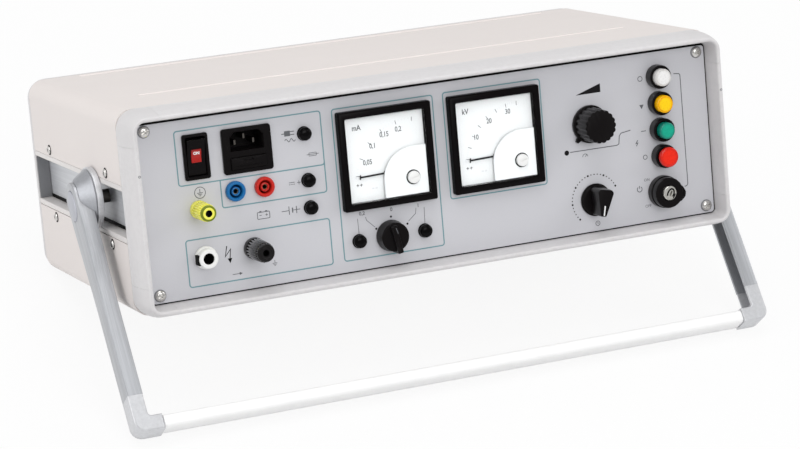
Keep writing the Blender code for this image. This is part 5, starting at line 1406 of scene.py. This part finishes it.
def build_grip():
    """Grip bar between the two corners, with a grey strip of painted shade along its inner side."""
    half = ARM_OUTER - GRIP_LEG - GAP
    rings = []
    for x, inset in ((-half, 0.5), (-half + 0.5, 0.0), (half - 0.5, 0.0), (half, 0.5)):
        outline = round_rect(17 - 2 * inset, 9.6 - 2 * inset, 3.0 - inset, 8)
        rings.append([(x, a, b - ARM_LENGTH) for a, b in outline])
    piece("grip_bar", skin(rings), SWING, grip_white, "handle", ["grip"], crisp=24)
    # grey strip on the grip's upper side: painted shade from the case above it
    shade_patch = [(0.5, 4.7), (5.3, 4.7), (5.3, 4.86), (5.1, 4.94), (0.7, 4.94), (0.5, 4.86)]
    rings = [[(x, a, b - ARM_LENGTH) for a, b in shade_patch] for x in (2 - half, half - 2)]
    piece("grip_painted_shade", skin(rings), SWING, grip_painted_shade, "handle")


# Stage

def build_stage():
    """Pale floor that looks white to the camera and keeps the object's shadow, soft lamps and camera."""
    grid = bmesh.new()
    bmesh.ops.create_grid(grid, x_segments=2, y_segments=2, size=6.0)
    floor = in_scene("floor", mesh_of("floor", grid))
    made, tree, shader = new_material("pale floor")
    tone = toned(tree, (0.8, 0.8, 0.8, 1), 2.0, 0.02, 900.0, 0.03)
    fill(tree, shader, Base_Color=tone, Roughness=0.9, Specular_IOR_Level=0.1)
    glow = add(tree, "Emission", Color=(1, 1, 1, 1), Strength=1.0)
    path = add(tree, "LightPath").outputs
    seen = maths(tree, "MAXIMUM", path["Is Camera Ray"], path["Is Glossy Ray"])
    seen = maths(tree, "MAXIMUM", seen, path["Is Transmission Ray"])
    surface_of(tree, maths(tree, "MULTIPLY", seen, FLOOR_WHITE), shader, glow)
    floor.data.materials.append(made)

    world = bpy.data.worlds.new("studio")
    bpy.context.scene.world = world
    world.use_nodes = True
    tree = world.node_tree
    path = add(tree, "LightPath").outputs
    seen = maths(tree, "MAXIMUM", path["Is Camera Ray"], path["Is Transmission Ray"])
    strength = maths(tree, "ADD", maths(tree, "MULTIPLY", seen, 1.0 - WORLD_LEVEL), WORLD_LEVEL)
    fill(tree, tree.nodes["Background"], Color=(1, 1, 1, 1), Strength=strength)

    for name, place, aim, size, power in LAMPS:
        lamp = bpy.data.lights.new(name, "AREA")
        lamp.shape = "RECTANGLE"
        lamp.size, lamp.size_y = size
        lamp.energy = power
        stand = in_scene(name, lamp)
        stand.location = place
        stand.rotation_euler = (Vector(aim) - Vector(place)).to_track_quat("-Z", "Y").to_euler()

    camera = bpy.data.cameras.new("camera")
    camera.lens = CAMERA_LENS
    camera.sensor_width = 36.0
    camera.clip_start = 0.05
    view = in_scene("camera", camera)
    view.location = CAMERA_PLACE
    view.rotation_euler = [math.radians(angle) for angle in CAMERA_TURN]
    bpy.context.scene.camera = view
    bpy.context.scene.view_settings.view_transform = "Standard"


CAMERA_LENS = 135.45
CAMERA_PLACE = (-0.823042, -1.852224, 1.121601)
CAMERA_TURN = (62.23085, -2.38327, -23.08993)
FLOOR_WHITE = 0.9
WORLD_LEVEL = 0.55
LAMPS = (
    ("overhead softbox", (-0.2, 0.1, 2.2), (0, 0, 0.1), (2.2, 1.6), 20.5),
    ("front softbox", (0.0, -2.2, 1.6), (0, 0, 0.1), (1.5, 1.1), 17.0),
    ("left softbox", (-2.3, 0.1, 0.9), (0, 0, 0.1), (1.8, 1.4), 16.0),
    ("right softbox", (2.2, -0.6, 1.2), (0, 0, 0.1), (1.2, 1.2), 12.0),
)

for build in (build_stage, build_front_frame, build_rear_frame, build_covers, build_side_profiles,
              build_feet, build_panel, build_switch, build_inlet, build_jacks):
    build()
build_post("earth", EARTH_AT, 6.6, 22.0, 0.3, earth_yellow, earth_yellow, earth_green)
build_post("return", RETURN_AT, 7.9, 25.0, 0.7, black_satin, black_post, black_post)
build_hv_socket()
build_meter(0)
build_meter(1)
for build in (build_knobs, build_column, build_key_switch, build_pivots, build_arms, build_grip):
    build()
